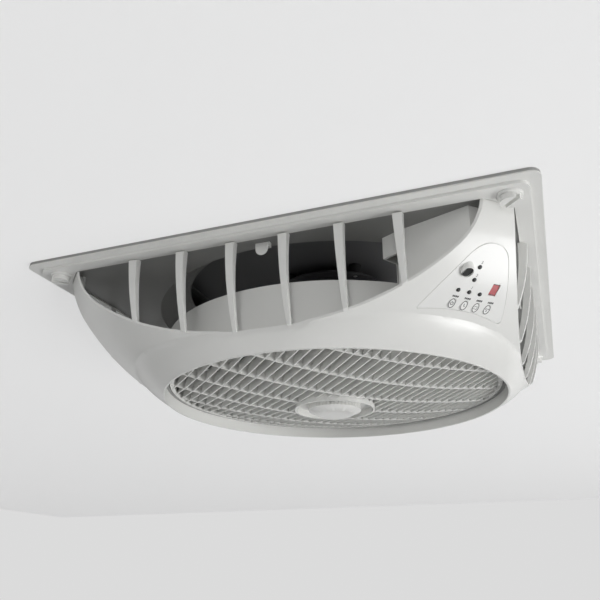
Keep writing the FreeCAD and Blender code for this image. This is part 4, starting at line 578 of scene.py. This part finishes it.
def edit_faces(piece, wanted):
    """Enter edit mode with only the faces selected that the test wants."""
    activate(piece)
    bpy.ops.object.mode_set(mode="EDIT")
    bpy.ops.mesh.select_mode(type="FACE")
    bpy.ops.mesh.select_all(action="DESELECT")
    bpy.ops.object.mode_set(mode="OBJECT")
    for face in piece.data.polygons:
        face.select = wanted(face)
    bpy.ops.object.mode_set(mode="EDIT")


def leave_edit():
    """Go back to object mode, with corners as what edit mode selects."""
    bpy.ops.mesh.select_mode(type="VERT")
    bpy.ops.object.mode_set(mode="OBJECT")


def round_head(radius, height, crown, place=(0.0, 0.0, 0.0), corners=32):
    """A round head that stands on its place, with a crowned top edge."""
    deselect()
    bpy.ops.mesh.primitive_cylinder_add(vertices=corners, radius=radius, depth=height,
                                        location=(place[0], place[1], place[2] + height / 2))
    head = settled(bpy.context.object)
    edit_faces(head, lambda face: face.normal.z > FACING_UP)
    bpy.ops.mesh.bevel(offset=crown, segments=CROWN_STEPS, affect="EDGES")
    leave_edit()
    return head


def block(length, width, height, place, turn=0.0):
    """A block whose foot stands on its place."""
    deselect()
    bpy.ops.mesh.primitive_cube_add(size=1.0, location=(place[0], place[1], place[2] + height / 2),
                                    rotation=(0.0, 0.0, math.radians(turn)), scale=(length, width, height))
    return settled(bpy.context.object)


def cross_recess(piece, places, length, width, depth):
    """Cut a cross in the top of each screw head; a place is the middle of the head's top."""
    bars = []
    for x, y, z in places:
        for turn in CROSS_TURNS:
            bars.append(block(length, width, 2 * depth, (x, y, z - depth), turn))
    cutter = joined(bars, "cross_cutter")
    modified(piece, "BOOLEAN", operation="DIFFERENCE", object=cutter, solver="EXACT", use_self=True)
    bpy.data.objects.remove(cutter, do_unlink=True)


# ---------------------------------------------------------------- the control leg and what is printed on it

def control_frame():
    """Matrix of the control frame: u across the leg, v up its slope and w outwards."""
    slope = math.radians(CONTROL_SLOPE)
    across = Vector((1.0, 1.0, 0.0)).normalized()
    outward = Vector((math.cos(slope), -math.cos(slope), -math.sin(slope) * math.sqrt(2.0))) / math.sqrt(2.0)
    up = outward.cross(across)
    low, high = (Vector(corner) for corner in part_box("display_window"))
    u, v, w = WINDOW_MIDDLE
    origin = (low + high) / 2 - across * u - up * v - outward * w
    matrix = Matrix((across, up, outward)).transposed().to_4x4()
    matrix.translation = origin
    return matrix


def flat_arc(radius, width, start, stop, place=(0.0, 0.0)):
    """A flat arc between two angles in degrees."""
    deselect()
    bpy.ops.mesh.primitive_circle_add(vertices=RING_CORNERS, radius=radius + width / 2,
                                      fill_type="NOTHING")
    arc = bpy.context.object
    bpy.ops.object.mode_set(mode="EDIT")
    bpy.ops.mesh.select_all(action="DESELECT")
    bpy.ops.object.mode_set(mode="OBJECT")
    for point in arc.data.vertices:
        angle = (math.degrees(math.atan2(point.co.y, point.co.x)) - start) % 360.0
        point.select = angle > stop - start + ARC_SLACK
    bpy.ops.object.mode_set(mode="EDIT")
    bpy.ops.mesh.delete(type="VERT")
    inner = (radius - width / 2) / (radius + width / 2)
    bpy.ops.mesh.select_all(action="SELECT")
    bpy.ops.mesh.extrude_edges_move()
    bpy.ops.transform.resize(value=(inner, inner, 1.0), center_override=(0.0, 0.0, 0.0))
    bpy.ops.object.mode_set(mode="OBJECT")
    arc.location = (place[0], place[1], 0.0)
    return settled(arc)


def flat_oval(half_width, half_height, line):
    """A flat oval ring whose line runs along the given halves."""
    deselect()
    bpy.ops.mesh.primitive_circle_add(vertices=RING_CORNERS, radius=half_width + line / 2,
                                      fill_type="NOTHING")
    oval = bpy.context.object
    outer = (half_height + line / 2) / (half_width + line / 2)
    inner = ((half_width - line / 2) / (half_width + line / 2),
             (half_height - line / 2) / (half_height + line / 2))
    bpy.ops.object.mode_set(mode="EDIT")
    bpy.ops.mesh.select_all(action="SELECT")
    bpy.ops.transform.resize(value=(1.0, outer, 1.0), center_override=(0.0, 0.0, 0.0))
    bpy.ops.mesh.extrude_edges_move()
    bpy.ops.transform.resize(value=(*inner, 1.0), center_override=(0.0, 0.0, 0.0))
    bpy.ops.object.mode_set(mode="OBJECT")
    return oval


def flat_bar(length, width, place=(0.0, 0.0), turn=0.0):
    """A flat bar in the middle of its place, turned in degrees."""
    deselect()
    bpy.ops.mesh.primitive_plane_add(size=1.0, location=(place[0], place[1], 0.0),
                                     rotation=(0.0, 0.0, math.radians(turn)))
    bar = bpy.context.object
    bar.scale = (length, width, 1.0)
    settled(bar)
    bpy.ops.object.mode_set(mode="EDIT")
    bpy.ops.mesh.select_all(action="SELECT")
    bpy.ops.mesh.subdivide(number_cuts=3)
    bpy.ops.object.mode_set(mode="OBJECT")
    return bar


def numeral(digit):
    """A flat numeral in the middle of its place."""
    deselect()
    bpy.ops.object.text_add()
    sign = bpy.context.object
    sign.data.body = digit
    sign.data.size = sizes().numeral
    sign.data.align_x = "CENTER"
    sign.data.align_y = "CENTER"
    activate(sign)
    bpy.ops.object.convert(target="MESH")
    return settled(bpy.context.object)


def printed(parts, name, under, body, ink, u, v):
    """Print flat parts on the piece under them, at a place of the control frame."""
    height = sizes().print_height
    print_piece = joined(parts, name)
    frame_matrix = control_frame()
    print_piece.matrix_world = frame_matrix @ Matrix.Translation((u, v, PRINT_START))
    modified(print_piece, "SHRINKWRAP", target=under, wrap_method="PROJECT", use_project_z=True,
             use_positive_direction=False, use_negative_direction=True)
    print_piece.location += frame_matrix.to_3x3() @ Vector((0.0, 0.0, height))
    settled(print_piece)
    modified(print_piece, "SOLIDIFY", thickness=INK_SHARE * height, offset=0.0)
    turned_out(print_piece)
    finished(print_piece, body, material=ink_finish(ink))


def surface_sink(u, v):
    """How far the curved fascia falls away from the control frame."""
    return u * u / (2 * FASCIA_RADIUS_ACROSS) + v * v / (2 * FASCIA_RADIUS_UP)


# ---------------------------------------------------------------- operators

class FAN_OT_moulding(bpy.types.Operator):
    """Panel, bowl, grilles, knobs and hooks."""
    bl_idname = "fan.moulding"
    bl_label = "Mouldings"

    def execute(self, context):
        edge = sizes().mould_edge
        for node in ("ceiling_panel", "fan_shroud", "control_box", "safety_hooks", "knob_collars"):
            carried(node, edge)
        carried("flange_gasket", sizes().sheet_edge)
        carried("body_shell", sizes().lip_edge)
        for side in ("front", "right", "back", "left"):
            carried("intake_grille_" + side, sizes().lip_edge)
        for corner in ("back_right", "back_left", "front_left", "front_right"):
            carried("corner_knob_" + corner, edge)
        return {"FINISHED"}


class FAN_OT_louvre(bpy.types.Operator):
    """Louvre wheel with its cap, spindle, support and motor."""
    bl_idname = "fan.louvre"
    bl_label = "Louvre"

    def execute(self, context):
        carried("louvre_wheel", sizes().blade_edge)
        carried("louvre_cap", sizes().mould_edge)
        for node in ("louvre_spindle", "louvre_support", "louvre_motor", "louvre_motor_screws"):
            carried(node, sizes().sheet_edge)
        return {"FINISHED"}


class FAN_OT_drive(bpy.types.Operator):
    """Impeller and motor."""
    bl_idname = "fan.drive"
    bl_label = "Fan and motor"

    def execute(self, context):
        for node in ("impeller", "impeller_nut", "motor_upper_housing", "motor_lower_housing", "motor_plate",
                     "motor_housing_screws", "motor_shaft", "motor_isolators", "isolator_screws",
                     "motor_capacitor", "capacitor_clip"):
            carried(node, sizes().sheet_edge)
        for node in ("motor_stator", "motor_windings", "motor_rotor", "motor_bearing_upper",
                     "motor_bearing_lower"):
            dressed(node)
        return {"FINISHED"}


class FAN_OT_upper_works(bpy.types.Operator):
    """Everything above the ceiling: pan, hangers and terminal box."""
    bl_idname = "fan.upper_works"
    bl_label = "Upper pan"

    def execute(self, context):
        for node in ("inlet_plate", "inlet_cone", "upper_pan", "hanger_plates", "terminal_box",
                     "terminal_box_cover", "terminal_block", "cable_gland", "leg_screws", "shroud_screws",
                     "shroud_nuts"):
            carried(node, sizes().sheet_edge)
        self.make_beads()
        self.make_cover_screws()
        return {"FINISHED"}

    def make_beads(self):
        """Stiffening beads pressed up in the top of the pan, clear of its screws, hangers and box."""
        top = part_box("hanger_plates")[0][2]
        width, height = sizes().bead_width, sizes().bead_height
        beads = []
        for x, y, length, turn in BEADS:
            bead = block(length, width, 2 * height, (x, y, top - height), turn)
            activate(bead)
            bpy.ops.object.mode_set(mode="EDIT")
            bpy.ops.mesh.select_all(action="SELECT")
            bpy.ops.mesh.bevel(offset=0.9 * height, segments=CROWN_STEPS, affect="EDGES")
            bpy.ops.object.mode_set(mode="OBJECT")
            beads.append(bead)
        beads = turned_out(joined(beads, "pan_beads"))
        finished(smoothed(beads, angle=40.0), "frame", "pan_paint")

    def make_cover_screws(self):
        """Crown-headed screws in the corners of the terminal box cover."""
        (x0, y0, z0), (x1, y1, top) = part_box("terminal_box_cover")
        inset, radius, height = COVER_SCREW_INSET, COVER_SCREW_RADIUS, COVER_SCREW_HEIGHT
        corners = [(x, y) for x in (x0 + inset, x1 - inset) for y in (y0 + inset, y1 - inset)]
        heads = [round_head(radius, height, crown=0.8 * height, place=(x, y, top)) for x, y in corners]
        screws = turned_out(joined(heads, "cover_screws"))
        cross_recess(screws, [(x, y, top + height) for x, y in corners],
                     length=1.2 * radius, width=0.25 * radius, depth=0.6 * height)
        finished(smoothed(screws, angle=35.0), "frame", "zinc_steel")


class FAN_OT_controls(bpy.types.Operator):
    """Control fascia, lamps, window, buttons, their prints and the board."""
    bl_idname = "fan.controls"
    bl_label = "Controls"

    def execute(self, context):
        fascia = carried("control_fascia", sizes().sheet_edge)
        carried("ir_bezel", sizes().mould_edge)
        window = carried("display_window", sizes().sheet_edge)
        carried("ir_lens", sizes().mould_edge)
        self.make_lamps(fascia)
        for (node, u), sign in zip(BUTTONS, (self.power_sign, self.timer_sign, self.speed_sign,
                                             self.louvre_sign)):
            button = carried(node, sizes().sheet_edge)
            ring = [flat_oval(sizes().ring_across, sizes().ring_up, sizes().ring_line)]
            printed(ring + sign(), node + "_sign", button, node, "soft_ink", u, BUTTON_ROW)
            self.print_label(fascia, node, u)
        for digit, (u, v) in zip("123", SPEED_LAMPS):
            printed([numeral(digit)], "numeral_" + digit, fascia, "frame", "ink",
                    u + NUMERAL_SHIFT[0], v + NUMERAL_SHIFT[1])
        for edge, v in WINDOW_BAR_ROWS:
            printed([flat_bar(*WINDOW_BAR)], "window_edge_" + edge, window, "frame", "ink",
                    WINDOW_BAR_ACROSS, v)
        dressed("control_pcb")
        return {"FINISHED"}

    def make_lamps(self, fascia):
        """Domed lamps that stand a little over the fascia."""
        radius, height = sizes().dome_radius, sizes().dome_height
        domes = []
        for u, v in LAMPS:
            dome = round_head(radius, height + LAMP_ROOT, crown=0.8 * radius, corners=40)
            dome.matrix_world = control_frame() @ Matrix.Translation((u, v, -surface_sink(u, v) - LAMP_ROOT))
            domes.append(settled(dome))
        lamps = turned_out(joined(domes, "indicator_domes"))
        smoothed(lamps, angle=40.0)
        finished(lamps, "frame", "dark_lens", stands_for=("indicator_lenses",))

    def print_label(self, fascia, node, u):
        """A row of short dashes over a button."""
        length, height = sizes().label_length, sizes().label_height
        dashes = [flat_bar(part * length, height, (place * length, 0.0))
                  for place, part in LABEL_DASHES]
        printed(dashes, node + "_label", fascia, "frame", "soft_ink",
                u + LABEL_SHIFT[0], BUTTON_ROW + LABEL_SHIFT[1])

    def power_sign(self):
        """A ring that is open at the top, with a bar in its opening."""
        stroke = sizes().stroke
        return [flat_arc(radius=0.0017, width=stroke, start=-235.0, stop=55.0),
                flat_bar(length=0.0020, width=stroke, place=(0.0, 0.0014), turn=90.0)]

    def timer_sign(self):
        """The two hands of a clock."""
        stroke = sizes().stroke
        return [flat_bar(length=0.0026, width=stroke, place=(-0.0002, 0.0009), turn=90.0),
                flat_bar(length=0.0019, width=stroke, place=(0.0005, -0.0008), turn=-40.0)]

    def speed_sign(self):
        """A ring of four arcs."""
        sweep = 60.0
        return [flat_arc(radius=0.0019, width=sizes().stroke, start=start, stop=start + sweep)
                for start in (15.0, 105.0, 195.0, 285.0)]

    def louvre_sign(self):
        """Three arcs that go round one middle."""
        shift, sweep = 0.0010, 150.0
        return [flat_arc(radius=0.0011, width=sizes().stroke, start=turn, stop=turn + sweep,
                          place=(shift * math.cos(math.radians(turn)), shift * math.sin(math.radians(turn))))
                for turn in (0.0, 120.0, 240.0)]


class FAN_OT_stage(bpy.types.Operator):
    """Ceiling with its opening, floor, light and camera."""
    bl_idname = "fan.stage"
    bl_label = "Stage"

    def execute(self, context):
        self.make_ceiling()
        self.make_floor()
        self.make_world()
        for lamp in AREA_LAMPS:
            self.make_lamp(*lamp)
        self.make_camera()
        return {"FINISHED"}

    def room_finish(self, name, open_from_above):
        """Matt paint that looks even, and that the camera sees through from above if it is asked for."""
        finish = Finish(name)
        cloud = finish.noise(scale=0.8, detail=2.0)
        room = tuple(colours().room)
        paint = finish.mix(toned(room, 0.985), toned(room, 1.01), cloud)
        seen = finish.node("LightPath")["Is Camera Ray"]
        pale = finish.mix(paint, toned(room, PAINT_SEEN), seen)
        glow = finish.mix((0.0, 0.0, 0.0), PAINT_GLOW, seen)
        finish.shade(Base_Color=pale, Emission_Color=glow, Emission_Strength=1.0, Roughness=0.9,
                     Specular_IOR_Level=0.1)
        if open_from_above:
            above = finish.node("NewGeometry")["Backfacing"]
            clear = finish.node("BsdfTransparent")["BSDF"]
            solid = Wire(finish.tree, finish.shader.outputs[0])
            both = finish.node("MixShader", i0=seen * above, i1=solid, i2=clear)["Shader"]
            finish.tree.links.new(both.socket, finish.output.inputs["Surface"])
        return finish.material

    def make_ceiling(self):
        """A ceiling whose upper side doesn't hide the part from above."""
        deselect()
        bpy.ops.mesh.primitive_plane_add(size=sizes().ceiling_size, location=(0.0, 0.0, 0.0))
        ceiling = bpy.context.object
        ceiling.name = "ceiling"
        bpy.ops.object.mode_set(mode="EDIT")
        bpy.ops.mesh.select_all(action="SELECT")
        bpy.ops.mesh.inset(thickness=sizes().ceiling_size / 2 - sizes().ceiling_hole)
        bpy.ops.mesh.delete(type="FACE")
        bpy.ops.mesh.select_all(action="SELECT")
        bpy.ops.mesh.flip_normals()
        bpy.ops.object.mode_set(mode="OBJECT")
        ceiling.data.materials.append(self.room_finish("ceiling_paint", True))

    def make_floor(self):
        """A pale floor that throws light back at the bowl."""
        deselect()
        bpy.ops.mesh.primitive_plane_add(size=sizes().floor_size, location=(0.0, 0.0, -sizes().floor_drop))
        floor = bpy.context.object
        floor.name = "floor"
        floor.data.materials.append(self.room_finish("floor_paint", False))

    def make_world(self):
        """Soft daylight for the part, and an even grey where the camera or a gloss looks past the room."""
        world = bpy.data.worlds.new("room")
        bpy.context.scene.world = world
        world.use_nodes = True
        tree = world.node_tree
        light = tree.nodes["Background"]
        light.inputs["Color"].default_value = DAYLIGHT
        light.inputs["Strength"].default_value = DAYLIGHT_STRENGTH
        shown = tree.nodes.new("ShaderNodeBackground")
        shown.inputs["Color"].default_value = BACKGROUND
        shown.inputs["Strength"].default_value = 1.0
        path = tree.nodes.new("ShaderNodeLightPath")
        both = tree.nodes.new("ShaderNodeMixShader")
        looks_past = tree.nodes.new("ShaderNodeMath")
        looks_past.operation = "MAXIMUM"
        tree.links.new(path.outputs["Is Camera Ray"], looks_past.inputs[0])
        tree.links.new(path.outputs["Is Glossy Ray"], looks_past.inputs[1])
        tree.links.new(looks_past.outputs[0], both.inputs["Fac"])
        tree.links.new(light.outputs[0], both.inputs[1])
        tree.links.new(shown.outputs[0], both.inputs[2])
        tree.links.new(both.outputs[0], tree.nodes["World Output"].inputs["Surface"])

    def make_lamp(self, name, place, target, size, power, spread):
        """A round area lamp that faces its target."""
        lamp = bpy.data.lights.new(name, "AREA")
        lamp.shape = "DISK"
        lamp.size = size
        lamp.energy = power
        lamp.spread = math.radians(spread)
        holder = bpy.data.objects.new(name, lamp)
        bpy.context.scene.collection.objects.link(holder)
        holder.location = place
        holder.rotation_euler = (Vector(target) - Vector(place)).to_track_quat("-Z", "Y").to_euler()

    def make_camera(self):
        """A camera below and in front of the control leg."""
        lens = bpy.data.cameras.new("camera")
        lens.lens = CAMERA_LENS
        lens.sensor_width = CAMERA_SENSOR
        lens.clip_start = 0.01
        lens.clip_end = 100.0
        holder = bpy.data.objects.new("camera", lens)
        bpy.context.scene.collection.objects.link(holder)
        heading, tilt, roll = (Matrix.Rotation(math.radians(turn), 4, axis) for turn, axis in CAMERA_TURNS)
        holder.matrix_world = Matrix.Translation(CAMERA_PLACE) @ (heading @ tilt @ roll)
        bpy.context.scene.camera = holder


OPERATORS = (FAN_OT_moulding, FAN_OT_louvre, FAN_OT_drive, FAN_OT_upper_works, FAN_OT_controls, FAN_OT_stage)


class FAN_PT_panel(bpy.types.Panel):
    """Lists the fan's operators."""
    bl_idname = "FAN_PT_panel"
    bl_label = "Ceiling panel fan"
    bl_space_type = "VIEW_3D"
    bl_region_type = "UI"
    bl_category = "Fan"

    def draw(self, context):
        for operator in OPERATORS:
            self.layout.operator(operator.bl_idname)
        for name in FanSizes.__annotations__:
            self.layout.prop(context.scene.fan_sizes, name)
        for name in FanColours.__annotations__:
            self.layout.prop(context.scene.fan_colours, name)


CLASSES = (FanSizes, FanColours, *OPERATORS, FAN_PT_panel)


def register():
    """Make the classes known and give the scene its sizes and colours."""
    for made in CLASSES:
        bpy.utils.register_class(made)
    bpy.types.Scene.fan_sizes = bpy.props.PointerProperty(type=FanSizes)
    bpy.types.Scene.fan_colours = bpy.props.PointerProperty(type=FanColours)


def unregister():
    """Take back what register did."""
    del bpy.types.Scene.fan_colours
    del bpy.types.Scene.fan_sizes
    for made in reversed(CLASSES):
        bpy.utils.unregister_class(made)


def main():
    """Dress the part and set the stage."""
    register()
    bpy.context.scene.view_settings.view_transform = "Standard"
    for operator in OPERATORS:
        group, name = operator.bl_idname.split(".")
        getattr(getattr(bpy.ops, group), name)()
    deselect()


if __name__ == "__main__":
    main()
